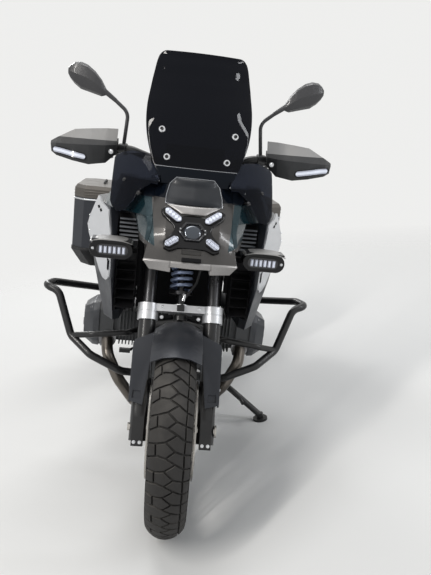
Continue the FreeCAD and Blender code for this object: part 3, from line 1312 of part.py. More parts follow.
os.makedirs("parts", exist_ok=True)
for obj in PIECES:
    obj.Shape.exportStep("parts/%s.step" % obj.Label)
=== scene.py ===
"""The looks of an adventure motorcycle leaning on its side stand.

New pieces are drawn on the upright motorcycle, in metres, with the same places
as the construction: it faces -Y, its left side is +X and the wheelbase's middle
stands at Y = 0.  `upright` then leans them, and steers what the bars turn, to
where the frame stands.
"""

import math

import bmesh
import bpy
from mathutils import Matrix, Vector
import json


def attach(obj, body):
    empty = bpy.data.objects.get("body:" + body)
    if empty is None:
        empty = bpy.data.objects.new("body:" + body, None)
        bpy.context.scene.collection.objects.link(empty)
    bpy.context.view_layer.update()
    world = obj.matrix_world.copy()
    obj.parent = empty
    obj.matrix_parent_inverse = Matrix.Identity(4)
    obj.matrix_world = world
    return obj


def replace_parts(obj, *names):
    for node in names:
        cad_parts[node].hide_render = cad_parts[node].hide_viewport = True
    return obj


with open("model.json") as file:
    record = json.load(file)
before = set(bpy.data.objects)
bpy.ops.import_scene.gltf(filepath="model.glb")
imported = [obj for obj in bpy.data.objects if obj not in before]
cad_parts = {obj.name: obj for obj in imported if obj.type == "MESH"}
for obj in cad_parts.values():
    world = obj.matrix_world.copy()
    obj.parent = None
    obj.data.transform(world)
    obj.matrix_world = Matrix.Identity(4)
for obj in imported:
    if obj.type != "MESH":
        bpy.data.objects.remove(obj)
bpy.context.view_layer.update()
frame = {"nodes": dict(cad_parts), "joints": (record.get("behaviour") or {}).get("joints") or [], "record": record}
BODIES = frame["record"]["behaviour"]["bodies"]
SLOTS = {part["node"]: part["material_slot"] for part in frame["record"]["subparts"]}
BODY_OF = {node: body for body, nodes in BODIES.items() for node in nodes}
JOINTS = {joint["name"]: joint for joint in frame["joints"]}

# The upright motorcycle's axles and fork.  The joints say where they stand once parked.
REAR_AXLE = Vector((0, 0.767, 0.318))
FRONT_AXLE = Vector((0, -0.767, 0.325))
HEAD_ANGLE = math.radians(63.8)
FORK_OFFSET = 0.037
# each rim's seat radius and half width
FRONT_SEAT, FRONT_RIM_HALF, REAR_SEAT, REAR_RIM_HALF = 0.241, 0.038, 0.216, 0.058
STEER_AXIS = Vector((0, math.cos(HEAD_ANGLE), math.sin(HEAD_ANGLE)))
AHEAD = Vector((0, -math.sin(HEAD_ANGLE), math.cos(HEAD_ANGLE)))
X, Y, Z = Vector((1, 0, 0)), Vector((0, 1, 0)), Vector((0, 0, 1))


def parked_matrix():
    across = Vector(JOINTS["rear_wheel"]["axis"]).normalized()
    turn = Matrix((across, Y, across.cross(Y))).transposed().to_4x4()
    shift = Vector(JOINTS["rear_wheel"]["pos_m"]) - turn @ REAR_AXLE
    return Matrix.Translation(shift) @ turn


def steered_matrix():
    axis = Vector(JOINTS["steering"]["axis"]).normalized()
    base = Vector(JOINTS["steering"]["pos_m"])
    straight = (PARKED.to_3x3() @ X).normalized()
    turned = Vector(JOINTS["front_wheel"]["axis"]).normalized()
    angle = math.atan2(axis.dot(straight.cross(turned)), straight.dot(turned))
    turn = Matrix.Translation(base) @ Matrix.Rotation(angle, 4, axis) @ Matrix.Translation(-base)
    return turn @ PARKED


PARKED = parked_matrix()
STEERED = steered_matrix()
STEERED_BODIES = ("steering", "front_wheel")


def fork_point(along, ahead, side):
    """A point on the fork: along the steering axis from the axle's level, ahead of it, to the side."""
    return FRONT_AXLE - AHEAD * FORK_OFFSET + STEER_AXIS * along + AHEAD * ahead + X * side


# Camera and stage

CAMERA_AT = Vector((-0.0329, -2.6090, 1.2358))
CAMERA_YAW, CAMERA_PITCH, CAMERA_ROLL = 2.995, 14.875, 6.961
FOCAL_PIXELS, IMAGE_HEIGHT = 619.2, 575


def make_camera():
    data = bpy.data.cameras.new("photo_camera")
    data.sensor_width = 36
    data.lens = FOCAL_PIXELS / IMAGE_HEIGHT * data.sensor_width
    data.clip_end = 200
    camera = bpy.data.objects.new("photo_camera", data)
    yaw, pitch, roll = (math.radians(a) for a in (CAMERA_YAW, CAMERA_PITCH, CAMERA_ROLL))
    forward = Vector((math.sin(yaw) * math.cos(pitch), math.cos(yaw) * math.cos(pitch), -math.sin(pitch)))
    level = forward.to_track_quat("-Z", "Y").to_matrix().to_4x4()
    camera.matrix_world = Matrix.Translation(CAMERA_AT) @ level @ Matrix.Rotation(-roll, 4, "Z")
    bpy.context.scene.collection.objects.link(camera)
    bpy.context.scene.camera = camera


FLOOR_REACH, FLOOR_GREY, FLOOR_FADE = 30, (0.74, 0.74, 0.73, 1), (1.3, 4.2)
PALE, SKY_GREY = (0.86, 0.86, 0.85, 1), (0.36, 0.37, 0.38, 1)
LAMPS_LOOK_AT = Vector((0, 0, 0.6))
# name, place, width, length, watts, colour
STUDIO_LAMPS = [
    ("key_lamp", (-2.6, -3.4, 4.4), 0.24, 3.6, 150, (1.0, 0.97, 0.93)),
    ("fill_lamp", (3.9, -2.2, 2.6), 0.22, 3.0, 55, (0.95, 0.97, 1.0)),
    ("back_lamp", (-1.5, 4.2, 3.6), 1.2, 3.0, 105, (1.0, 1.0, 1.0)),
    ("top_lamp", (0.6, 0.4, 4.8), 1.0, 3.2, 70, (1.0, 1.0, 1.0)),
]


def make_stage():
    bpy.context.scene.view_settings.view_transform = "Standard"
    make_floor()
    make_world()
    for lamp in STUDIO_LAMPS:
        make_lamp(*lamp)


def make_floor():
    bm = bmesh.new()
    bmesh.ops.create_circle(bm, cap_ends=True, segments=64, radius=FLOOR_REACH)
    mesh = bpy.data.meshes.new("floor")
    bm.to_mesh(mesh)
    bm.free()
    floor = bpy.data.objects.new("floor", mesh)
    bpy.context.scene.collection.objects.link(floor)
    floor.data.materials.append(floor_material())


def make_lamp(name, place, across, length, watts, colour):
    data = bpy.data.lights.new(name, "AREA")
    data.shape = "RECTANGLE"
    data.size, data.size_y = across, length
    data.energy = watts
    data.color = colour
    lamp = bpy.data.objects.new(name, data)
    lamp.location = place
    lamp.rotation_euler = (LAMPS_LOOK_AT - Vector(place)).to_track_quat("-Z", "Y").to_euler()
    bpy.context.scene.collection.objects.link(lamp)


def seen_directly(tree):
    """1 on rays from the camera, in a mirror or through glass, which all show the pale backdrop."""
    path = add(tree, "ShaderNodeLightPath").outputs
    straight = maths(tree, "MAXIMUM", path["Is Camera Ray"], path["Is Transmission Ray"])
    return maths(tree, "MAXIMUM", straight, path["Is Glossy Ray"])


def make_world():
    world = bpy.data.worlds.new("studio")
    bpy.context.scene.world = world
    world.use_nodes = True
    tree = world.node_tree
    light = mixed(tree, seen_directly(tree), SKY_GREY, PALE)
    tree.links.new(light, tree.nodes["Background"].inputs[0])


def floor_material():
    """Grey that fades into the backdrop away from the motorcycle."""
    made = bpy.data.materials.new("studio_floor")
    made.use_nodes = True
    tree = made.node_tree
    shader = tree.nodes["Principled BSDF"]
    shader.inputs["Base Color"].default_value = FLOOR_GREY
    shader.inputs["Roughness"].default_value = 0.75
    place = add(tree, "ShaderNodeTexCoord").outputs["Object"]
    away = add(tree, "ShaderNodeVectorMath", [(0, place)], operation="LENGTH").outputs["Value"]
    tree.links.new(ramped(tree, away, *FLOOR_FADE, 1.0, 0.0), shader.inputs["Alpha"])
    return made


# Effects that several finishes share


def effect(name, inputs, output, kind):
    """An empty node group with float or colour inputs and one output."""
    group = bpy.data.node_groups.new(name, "ShaderNodeTree")
    for label, value in inputs:
        colour = isinstance(value, tuple)
        socket = group.interface.new_socket(label, in_out="INPUT",
                                            socket_type="NodeSocketColor" if colour else "NodeSocketFloat")
        socket.default_value = value
    group.interface.new_socket(output, in_out="OUTPUT", socket_type=kind)
    source = group.nodes.new("NodeGroupInput")
    sink = group.nodes.new("NodeGroupOutput")
    place = group.nodes.new("ShaderNodeTexCoord")
    return group, source, sink, place.outputs["Object"]


def add(tree, kind, inputs=(), **settings):
    """A node with settings; each input is a socket name or number with a plain value or another socket."""
    node = tree.nodes.new(kind)
    for name, value in settings.items():
        setattr(node, name, value)
    for socket, value in inputs:
        if isinstance(value, bpy.types.NodeSocket):
            tree.links.new(value, node.inputs[socket])
        else:
            node.inputs[socket].default_value = value
    return node


def noise_of(tree, place, scale, detail=3.0, roughness=0.55):
    made = add(tree, "ShaderNodeTexNoise", [("Vector", place), ("Scale", scale), ("Detail", detail),
                                            ("Roughness", roughness)])
    return made.outputs["Fac"]


def ramped(tree, value, low, high, to_low=0.0, to_high=1.0):
    made = add(tree, "ShaderNodeMapRange", [("Value", value), ("From Min", low), ("From Max", high),
                                            ("To Min", to_low), ("To Max", to_high)])
    return made.outputs["Result"]


def maths(tree, operation, a, b):
    return add(tree, "ShaderNodeMath", [(0, a), (1, b)], operation=operation).outputs[0]


def mixed(tree, share, first, second):
    """One colour turning into another as the share goes from 0 to 1."""
    return add(tree, "ShaderNodeMix", [(0, share), (6, first), (7, second)], data_type="RGBA").outputs[2]


def use(tree, group, **values):
    """A group placed in a material with its own values."""
    return add(tree, "ShaderNodeGroup", values.items(), node_tree=group).outputs[0]


def make_grain():
    """A fine moulded grain: a height for a bump."""
    group, source, sink, place = effect("moulded_grain", [("Scale", 900.0)], "Height", "NodeSocketFloat")
    cells = add(group, "ShaderNodeTexVoronoi", [("Vector", place), ("Scale", source.outputs["Scale"])],
                feature="SMOOTH_F1")
    soft = noise_of(group, place, 160.0)
    height = maths(group, "ADD", cells.outputs["Distance"], maths(group, "MULTIPLY", soft, 0.6))
    group.links.new(height, sink.inputs[0])
    return group


def make_dust():
    """How much dust lies on a place: more on what faces up, and in soft patches."""
    group, source, sink, place = effect("light_dust", [("Amount", 0.3)], "Mask", "NodeSocketFloat")
    facing = add(group, "ShaderNodeNewGeometry")
    height = add(group, "ShaderNodeSeparateXYZ", [("Vector", facing.outputs["Normal"])])
    upward = ramped(group, height.outputs["Z"], 0.25, 1.0)
    patches = ramped(group, noise_of(group, place, 11.0, 5.0), 0.35, 0.75)
    mask = maths(group, "MULTIPLY", maths(group, "MULTIPLY", upward, patches), source.outputs["Amount"])
    group.links.new(mask, sink.inputs[0])
    return group


def make_tone():
    """A colour that drifts a little over the surface."""
    levels = [("Colour", (0.5, 0.5, 0.5, 1)), ("Drift", 0.15), ("Scale", 9.0)]
    group, source, sink, place = effect("tone_drift", levels, "Colour", "NodeSocketColor")
    drift = noise_of(group, place, source.outputs["Scale"], 6.0, 0.5)
    change = maths(group, "MULTIPLY", maths(group, "SUBTRACT", drift, 0.5), source.outputs["Drift"])
    value = maths(group, "ADD", change, 1.0)
    made = add(group, "ShaderNodeHueSaturation", [("Value", value), ("Color", source.outputs["Colour"])])
    group.links.new(made.outputs[0], sink.inputs[0])
    return group


# how two sets of scratches are turned and how far they are drawn out
SCRATCH_SETS = (((0.3, 0.2, 0.5), (1, 18, 4)), ((0.9, 1.2, 0.1), (14, 1, 5)))


def make_scuffs():
    """Fine crossing scratches: a mask of thin lines."""
    group, source, sink, place = effect("fine_scratches", [("Scale", 14.0)], "Mask", "NodeSocketFloat")
    masks = []
    for turn, stretch in SCRATCH_SETS:
        turned = add(group, "ShaderNodeMapping", [("Vector", place), ("Rotation", turn), ("Scale", stretch)])
        lines = noise_of(group, turned.outputs[0], source.outputs["Scale"], 8.0, 0.7)
        masks.append(ramped(group, lines, 0.62, 0.68))
    group.links.new(maths(group, "MAXIMUM", *masks), sink.inputs[0])
    return group


def make_flakes():
    """Metallic flakes: a brightness near 1 that changes from speck to speck."""
    levels = [("Scale", 1400.0), ("Strength", 0.25)]
    group, source, sink, place = effect("metal_flakes", levels, "Value", "NodeSocketFloat")
    cells = add(group, "ShaderNodeTexVoronoi", [("Vector", place), ("Scale", source.outputs["Scale"])])
    speck = add(group, "ShaderNodeSeparateXYZ", [("Vector", cells.outputs["Color"])])
    change = maths(group, "SUBTRACT", speck.outputs["X"], 0.5)
    value = maths(group, "MULTIPLY", change, source.outputs["Strength"])
    group.links.new(maths(group, "ADD", value, 1.0), sink.inputs[0])
    return group


GRAIN, DUST, TONE, SCUFFS, FLAKES = make_grain(), make_dust(), make_tone(), make_scuffs(), make_flakes()
DUST_COLOUR = (0.33, 0.31, 0.28, 1)


# Finishes


FINISHES = {}


def new_finish(name, levels):
    """A finish under its name, with its shader's plain levels: the tree, the shader and the place."""
    made = bpy.data.materials.new(name)
    made.use_nodes = True
    FINISHES[name] = made
    tree = made.node_tree
    shader = tree.nodes["Principled BSDF"]
    for level, value in levels.items():
        shader.inputs[level].default_value = value
    return tree, shader, add(tree, "ShaderNodeTexCoord").outputs["Object"]


def finish_of(name, colour, roughness, metallic=0.0, coat=0.0, grain=0.0, grain_scale=900.0, dust=0.0,
              drift=0.15, scuff=0.0, flake=0.0, extra_height=None, coat_roughness=0.05, specular=0.5,
              sheen=0.0):
    """One procedural material: a drifting colour under dust, scratches and grain."""
    tree, shader, place = new_finish(name, {
        "Metallic": metallic, "Coat Weight": coat, "Coat Roughness": coat_roughness,
        "Specular IOR Level": specular, "Sheen Weight": sheen})
    tone = use(tree, TONE, Colour=colour + (1,), Drift=drift)
    if flake:
        bright = use(tree, FLAKES, Strength=flake)
        tone = add(tree, "ShaderNodeHueSaturation", [("Value", bright), ("Color", tone)]).outputs[0]
    patches = noise_of(tree, place, 26.0, 6.0)
    rough = ramped(tree, patches, 0.3, 0.7, roughness - 0.06, roughness + 0.07)
    if scuff:
        marks = maths(tree, "MULTIPLY", use(tree, SCUFFS), scuff)
        lighter = tuple(min(1.0, c * 1.5 + 0.03) for c in colour) + (1,)
        tone = mixed(tree, marks, tone, lighter)
        rough = maths(tree, "ADD", rough, maths(tree, "MULTIPLY", marks, 0.25))
    if dust:
        mask = use(tree, DUST, Amount=dust)
        tone = mixed(tree, mask, tone, DUST_COLOUR)
        rough = maths(tree, "ADD", rough, maths(tree, "MULTIPLY", mask, 0.5))
    tree.links.new(tone, shader.inputs["Base Color"])
    tree.links.new(rough, shader.inputs["Roughness"])
    height = None
    if grain:
        height = maths(tree, "MULTIPLY", use(tree, GRAIN, Scale=grain_scale), grain)
    if extra_height:
        more = extra_height(tree, place)
        height = maths(tree, "ADD", height, more) if height else more
    if height:
        bump = add(tree, "ShaderNodeBump", [("Height", height), ("Distance", 0.001), ("Strength", 1.0)])
        tree.links.new(bump.outputs[0], shader.inputs["Normal"])
    return shader


def brushed_lines(tree, place):
    """A height of fine lines round the motorcycle's width, as brushing leaves them."""
    drawn = add(tree, "ShaderNodeMapping", [("Vector", place), ("Scale", (6, 260, 260))])
    return maths(tree, "MULTIPLY", noise_of(tree, drawn.outputs[0], 3.0, 2.0), 0.12)


def casting_height(tree, place):
    return maths(tree, "MULTIPLY", noise_of(tree, place, 420.0, 3.0), 0.35)


def rubber_height(tree, place):
    return maths(tree, "MULTIPLY", noise_of(tree, place, 700.0, 4.0), 0.3)


def cover_height(tree, place):
    """The fine dimples of a gripping seat cover."""
    dimples = [("Vector", place), ("Scale", 520.0)]
    cells = add(tree, "ShaderNodeTexVoronoi", dimples, feature="DISTANCE_TO_EDGE")
    return ramped(tree, cells.outputs["Distance"], 0.0, 0.35, 0.0, 0.5)


def see_through(name, colour, roughness, clearness, bending):
    """A clear plastic or glass, tinted."""
    tree, shader, place = new_finish(name, {"Transmission Weight": clearness, "IOR": bending})
    tree.links.new(use(tree, TONE, Colour=colour + (1,), Drift=0.08), shader.inputs["Base Color"])
    patches = noise_of(tree, place, 18.0, 4.0)
    rough = ramped(tree, patches, 0.3, 0.7, roughness, roughness + 0.03)
    tree.links.new(rough, shader.inputs["Roughness"])


def glowing(name, colour, strength):
    """A lit or bright lamp element behind clear plastic."""
    shader = finish_of(name, colour, 0.25, coat=0.8, drift=0.05)
    shader.inputs["Emission Color"].default_value = colour + (1,)
    shader.inputs["Emission Strength"].default_value = strength


finish_of("tyre_rubber", (0.026, 0.0245, 0.0235), 0.74, grain=0.12, grain_scale=1500, dust=0.5,
          drift=0.35, scuff=0.12, extra_height=rubber_height, specular=0.35)
finish_of("black_metal", (0.009, 0.009, 0.010), 0.33, coat=0.12, grain=0.05, dust=0.06, scuff=0.05,
          specular=0.4)
finish_of("slate_metal", (0.07, 0.074, 0.082), 0.42, metallic=0.35, coat=0.15, grain=0.08, dust=0.12,
          scuff=0.1)
finish_of("silver_alloy", (0.62, 0.63, 0.65), 0.36, metallic=0.75, grain=0.1, grain_scale=2200,
          dust=0.08, drift=0.1, scuff=0.12)
finish_of("engine_alloy", (0.085, 0.088, 0.092), 0.46, metallic=0.45, dust=0.25, scuff=0.08,
          extra_height=casting_height)
finish_of("steel", (0.46, 0.44, 0.41), 0.28, metallic=1.0, dust=0.1, drift=0.3, scuff=0.2,
          extra_height=brushed_lines)
finish_of("dark_steel", (0.07, 0.07, 0.074), 0.3, metallic=0.8, dust=0.1, scuff=0.15,
          extra_height=brushed_lines)
finish_of("spring_steel", (0.36, 0.44, 0.64), 0.33, metallic=0.3, coat=0.5, dust=0.1, scuff=0.08)
finish_of("body_bronze", (0.054, 0.051, 0.049), 0.34, metallic=0.5, coat=0.25, flake=0.35, dust=0.03,
          scuff=0.02, specular=0.4)
finish_of("body_teal", (0.003, 0.021, 0.029), 0.25, metallic=0.4, coat=0.35, flake=0.5, dust=0.02,
          drift=0.2, specular=0.4)
finish_of("body_slate", (0.027, 0.030, 0.038), 0.42, metallic=0.4, coat=0.2, flake=0.3, dust=0.08,
          coat_roughness=0.3)
finish_of("black_plastic", (0.010, 0.010, 0.011), 0.52, grain=0.5, grain_scale=1300, dust=0.1,
          scuff=0.05, specular=0.35)
finish_of("grey_plastic", (0.026, 0.027, 0.029), 0.5, grain=0.5, grain_scale=1300, dust=0.1, scuff=0.05,
          specular=0.4)
see_through("smoked_screen", (0.005, 0.006, 0.010), 0.015, 0.5, 1.2)
glowing("lamp_clear", (0.42, 0.44, 0.52), 0.1)
finish_of("lamp_black", (0.005, 0.005, 0.006), 0.16, coat=0.15, dust=0.02, specular=0.25)
finish_of("seat_cover", (0.022, 0.022, 0.024), 0.62, dust=0.12, drift=0.3, sheen=0.15,
          extra_height=cover_height)
finish_of("grip_rubber", (0.02, 0.02, 0.021), 0.66, grain=0.3, dust=0.1, specular=0.35)
finish_of("red_lens", (0.36, 0.012, 0.012), 0.12, coat=1.0, drift=0.1)
finish_of("mirror_glass", (0.82, 0.84, 0.86), 0.03, metallic=1.0, drift=0.02)
finish_of("bright_chrome", (0.7, 0.71, 0.73), 0.12, metallic=1.0, drift=0.06)
finish_of("bolt_steel", (0.3, 0.3, 0.31), 0.3, metallic=1.0, drift=0.2, scuff=0.1)
glowing("lamp_glow", (0.72, 0.76, 0.86), 0.2)
finish_of("projector_black", (0.006, 0.007, 0.010), 0.08, coat=0.5)
finish_of("lens_dark", (0.03, 0.04, 0.055), 0.03, coat=1.0, metallic=0.4)
finish_of("amber_lens", (0.62, 0.19, 0.02), 0.14, coat=1.0, drift=0.1)
finish_of("mirror_shell", (0.032, 0.032, 0.035), 0.38, coat=0.2, grain=0.15, grain_scale=1600)
# a light grey on parts that are dark grey and black: a painted highlight for the light on the hand guards'
# spoilers and the auxiliary lamps' visors
finish_of("grey_painted_highlight", (0.3, 0.295, 0.29), 0.4, coat=0.2, grain=0.25, grain_scale=1500, dust=0.1)
# the duct blades are black plastic; this light grey is a painted highlight for the light on their edges
finish_of("blade_painted_highlight", (0.2, 0.21, 0.23), 0.3, coat=0.4, dust=0.05)
# a matt black for the duct louvres, the radiators and the nose's slot; the dark panels between the ducts wear it
# as painted shade
finish_of("duct_black_and_painted_shade", (0.005, 0.005, 0.006), 0.6, dust=0.03, specular=0.12)
finish_of("cowl_gloss", (0.003, 0.005, 0.009), 0.13, coat=0.04, dust=0.02, drift=0.1, specular=0.1)
# a lighter copy of the body's bronze: a painted highlight for the light on the nose's lower lip and on the nose
# panel's band
finish_of("bronze_painted_highlight", (0.3, 0.29, 0.285), 0.36, metallic=0.6, flake=0.3, dust=0.03, scuff=0.02)
finish_of("panel_slate", (0.006, 0.008, 0.012), 0.4, coat=0.08, flake=0.25, dust=0.03, specular=0.3)
see_through("smoked_plate", (0.022, 0.026, 0.038), 0.02, 0.8, 1.13)
# a light metal for thin lines laid along edges: a painted highlight where the edges catch the light
finish_of("edge_painted_highlight", (0.3, 0.31, 0.33), 0.25, metallic=0.6, coat=0.6)
finish_of("header_steel", (0.15, 0.135, 0.12), 0.34, metallic=1.0, drift=0.35, dust=0.15, scuff=0.15,
          extra_height=brushed_lines)
finish_of("welt_black", (0.012, 0.012, 0.013), 0.5)
finish_of("lid_bronze", (0.12, 0.11, 0.10), 0.36, metallic=0.7, flake=0.25, dust=0.12, scuff=0.06,
          grain=0.06)


# Pieces

SMOOTH_ANGLE = math.radians(32)
# corners closer than this are one corner, and faces within this angle are one flat face
SAME_PLACE, SAME_FLAT = 2e-5, math.radians(0.6)


def finished(name, bm, body, slot_name, finish=None):
    """A named piece from a mesh that already stands in its place."""
    mesh = bpy.data.meshes.new(name)
    bm.to_mesh(mesh)
    bm.free()
    mesh.shade_smooth()
    mesh.set_sharp_from_angle(angle=SMOOTH_ANGLE)
    made = bpy.data.objects.new(name, mesh)
    bpy.context.scene.collection.objects.link(made)
    made.data.materials.append(FINISHES[finish or slot_name])
    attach(made, body)
    return made


def parked(body):
    """What moves a thing drawn upright to where its body is parked."""
    return STEERED if body in STEERED_BODIES else PARKED


def upright(name, bm, body, slot_name, finish=None):
    """A named piece from a mesh drawn upright."""
    bmesh.ops.transform(bm, matrix=parked(body), verts=bm.verts)
    return finished(name, bm, body, slot_name, finish)


def merged_copy(node):
    """The mesh of a CAD node with its corners joined and its flat faces whole."""
    bm = bmesh.new()
    bm.from_mesh(frame["nodes"][node].data)
    bmesh.ops.remove_doubles(bm, verts=bm.verts, dist=SAME_PLACE)
    bmesh.ops.dissolve_limit(bm, angle_limit=SAME_FLAT, verts=bm.verts, edges=bm.edges)
    return bm


def softened(node, width, sharp, finish=None, cut=None, rest=None):
    """A node's copy with rounded edges, which stands for the node.

    `cut` is a (point, normal) plane on the upright motorcycle: what lies past it becomes
    a piece of its own with the finish `rest`, a (slot, finish) pair.
    """
    body, whole = BODY_OF[node], merged_copy(node)
    if cut:
        point, normal = parked(body) @ cut[0], parked(body).to_3x3() @ cut[1]
        beyond, whole = kept_side(whole, point, -normal), kept_side(whole, point, normal)
        rounded(finished(node + "_upper", beyond, body, *rest), width, 3, sharp)
    made = finished(node + "_shell", whole, body, SLOTS[node], finish)
    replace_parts(rounded(made, width, 3, sharp), node)


def sliced(bm, point, normal, **settings):
    """Cuts the whole of a mesh along a plane."""
    every = bm.verts[:] + bm.edges[:] + bm.faces[:]
    return bmesh.ops.bisect_plane(bm, geom=every, plane_co=point, plane_no=normal, **settings)


def kept_side(bm, point, normal):
    """A closed copy of what lies behind a plane."""
    copy = bm.copy()
    cut = sliced(copy, point, normal, dist=1e-5, clear_outer=True)
    rim = [e for e in cut["geom_cut"] if isinstance(e, bmesh.types.BMEdge)]
    bmesh.ops.triangle_fill(copy, use_beauty=True, edges=rim)
    bmesh.ops.recalc_face_normals(copy, faces=copy.faces)
    return copy


def dress_nodes():
    """Each construction node gets its own finish."""
    for node, obj in frame["nodes"].items():
        obj.data.materials.clear()
        obj.data.materials.append(FINISHES[NODE_FINISHES.get(node, SLOTS[node])])


# Shapes


def between_four(a, b, c, d, t):
    """A place on the smooth curve from b to c, with a before them and d after them."""
    return [0.5 * (2 * q + (r - p) * t + (2 * p - 5 * q + 4 * r - s) * t * t
                   + (3 * q - p - 3 * r + s) * t ** 3) for p, q, r, s in zip(a, b, c, d)]


def curve_through(points, steps):
    """A smooth line through the given points, with steps between each pair."""
    points = [Vector(p) for p in points]
    ends = [2 * points[0] - points[1]] + points + [2 * points[-1] - points[-2]]
    line = []
    for k in range(1, len(ends) - 2):
        line += [Vector(between_four(*ends[k - 1:k + 3], i / steps)) for i in range(steps)]
    line.append(points[-1])
    return line


def sheet(bm, rows, closed=False):
    """Quads between rows of points; a closed sheet joins each row's end to its start."""
    made = [[bm.verts.new(p) for p in row] for row in rows]
    count = len(rows[0])
    for low, high in zip(made, made[1:]):
        for k in range(count if closed else count - 1):
            n = (k + 1) % count
            bm.faces.new((low[k], low[n], high[n], high[k]))
    return made


def capped(bm, rings):
    """A closed sheet of rings with its two ends filled."""
    made = sheet(bm, rings, closed=True)
    bm.faces.new(list(reversed(made[0])))
    bm.faces.new(made[-1])
    bmesh.ops.recalc_face_normals(bm, faces=list({f for row in made for v in row for f in v.link_faces}))


SIDE_WORDS = ((1, "left"), (-1, "right"))


def both_halves(bm):
    """A left-hand mesh with its mirror image added on the right."""
    copy = bmesh.ops.duplicate(bm, geom=bm.verts[:] + bm.edges[:] + bm.faces[:])["geom"]
    bmesh.ops.scale(bm, vec=(-1, 1, 1), verts=[v for v in copy if isinstance(v, bmesh.types.BMVert)])
    bmesh.ops.reverse_faces(bm, faces=[f for f in copy if isinstance(f, bmesh.types.BMFace)])
    return bm


def spun(bm, line, centre, axis, sides):
    """A line of points turned all the way round an axis."""
    before = set(bm.faces)
    corners = [bm.verts.new(p) for p in line]
    edges = [bm.edges.new(pair) for pair in zip(corners, corners[1:])]
    bmesh.ops.spin(bm, geom=corners + edges, cent=centre, axis=axis, angle=2 * math.pi, steps=sides,
                   use_merge=True)
    faces = [f for f in bm.faces if f not in before]
    bmesh.ops.remove_doubles(bm, verts=list({v for f in faces for v in f.verts}), dist=1e-6)
    bmesh.ops.recalc_face_normals(bm, faces=[f for f in bm.faces if f not in before])


def lathe(bm, profile, centre, segments):
    """A profile of (across, radius) points turned about the axis that runs across at the centre."""
    spun(bm, [centre + X * across + Y * radius for across, radius in profile], centre, X, segments)


def dome(bm, centre, out, radius, deep, sides):
    """A round lens that bulges out of its rim."""
    arc = [math.pi / 2 * k / 8 for k in range(9)]
    side = out.orthogonal().normalized()
    line = [centre + out * deep * math.sin(a) + side * radius * math.cos(a) for a in arc]
    spun(bm, line, centre, out, sides)


def grid(bm, columns, rows, place):
    """A grid of quads bent into shape: `place` takes two shares from 0 to 1, across and up."""
    for vertex in bmesh.ops.create_grid(bm, x_segments=columns, y_segments=rows, size=0.5)["verts"]:
        vertex.co = place(vertex.co.x + 0.5, vertex.co.y + 0.5)


def tidy(bm):
    """Joins doubled corners and turns every face outwards."""
    bmesh.ops.remove_doubles(bm, verts=bm.verts, dist=1e-5)
    bmesh.ops.recalc_face_normals(bm, faces=bm.faces)


def pipe(bm, points, radius, sides, steps):
    """A round bar along a line, with flat ends; more than one step smooths the line."""
    line = curve_through(points, steps) if steps > 1 else [Vector(p) for p in points]
    along = (line[1] - line[0]).normalized()
    side = along.orthogonal().normalized()
    rings = []
    for k, point in enumerate(line):
        ahead = line[min(k + 1, len(line) - 1)] - line[max(k - 1, 0)]
        if ahead.length > 1e-9:
            along = ahead.normalized()
        side = (side - along * side.dot(along)).normalized()
        up = along.cross(side)
        turns = [2 * math.pi * i / sides for i in range(sides)]
        rings.append([point + (side * math.cos(t) + up * math.sin(t)) * radius for t in turns])
    capped(bm, rings)


def post(bm, start, end, radius, sides, far_radius=None):
    """A straight round bar or cone with flat ends."""
    along = end - start
    side = along.orthogonal().normalized()
    facing = Matrix((side.cross(along.normalized()), side, along.normalized())).transposed().to_4x4()
    bmesh.ops.create_cone(bm, cap_ends=True, segments=sides, radius1=radius,
                          radius2=radius if far_radius is None else far_radius, depth=along.length,
                          matrix=Matrix.Translation((start + end) / 2) @ facing)


def block(bm, centre, span, turn=Matrix.Identity(3)):
    """A box about its middle, turned by a 3x3 matrix."""
    place = Matrix.Translation(Vector(centre)) @ turn.to_4x4() @ Matrix.Diagonal(Vector(span)).to_4x4()
    bmesh.ops.create_cube(bm, size=1.0, matrix=place)


def plate(bm, outline, front, back, matrix=Matrix()):
    """An outline of (x, z) points as a slab between two depths, drawn facing -Y."""
    face = bm.faces.new([bm.verts.new(matrix @ Vector((x, front, z))) for x, z in outline])
    far = bmesh.ops.extrude_face_region(bm, geom=[face], use_keep_orig=True)["geom"]
    moved = [v for v in far if isinstance(v, bmesh.types.BMVert)]
    bmesh.ops.translate(bm, vec=matrix.to_3x3() @ Y * (back - front), verts=moved)


# a bolt's head from its washer's foot to the floor of its socket, as shares of (radius, height)
BOLT_HEAD = [(0, 0), (1.35, 0), (1.35, 0.18), (1.0, 0.2), (1.0, 0.75), (0.8, 1.0), (0.5, 1.0), (0.46, 0.55),
             (0, 0.55)]


def bolt(bm, centre, normal, radius, deep):
    """A domed socket bolt: a head with a washer and a sunk socket."""
    centre, normal = Vector(centre), Vector(normal).normalized()
    side = normal.orthogonal().normalized()
    line = [centre + side * radius * reach + normal * deep * height for reach, height in BOLT_HEAD]
    spun(bm, line, centre, normal, 24)


def rounded(obj, width, segments=2, angle=30):
    """Rounds a piece's sharp edges."""
    made = obj.modifiers.new("rounding", "BEVEL")
    made.width = width
    made.segments = segments
    made.limit_method = "ANGLE"
    made.angle_limit = math.radians(angle)
    made.use_clamp_overlap = True
    return obj


def thickened(obj, thickness, offset=-1.0):
    """Gives a sheet a wall; an offset of -1 puts it behind the faces, 1 before them, 0 both ways."""
    made = obj.modifiers.new("wall", "SOLIDIFY")
    made.thickness = thickness
    made.offset = offset
    made.use_even_offset = True
    return obj


def backed(obj, thickness):
    """Gives a sheet a wall behind it, whichever way its faces point."""
    return thickened(obj, thickness, -1.0 if obj.data.polygons[0].normal.y < 0 else 1.0)


# Tyres with their tread

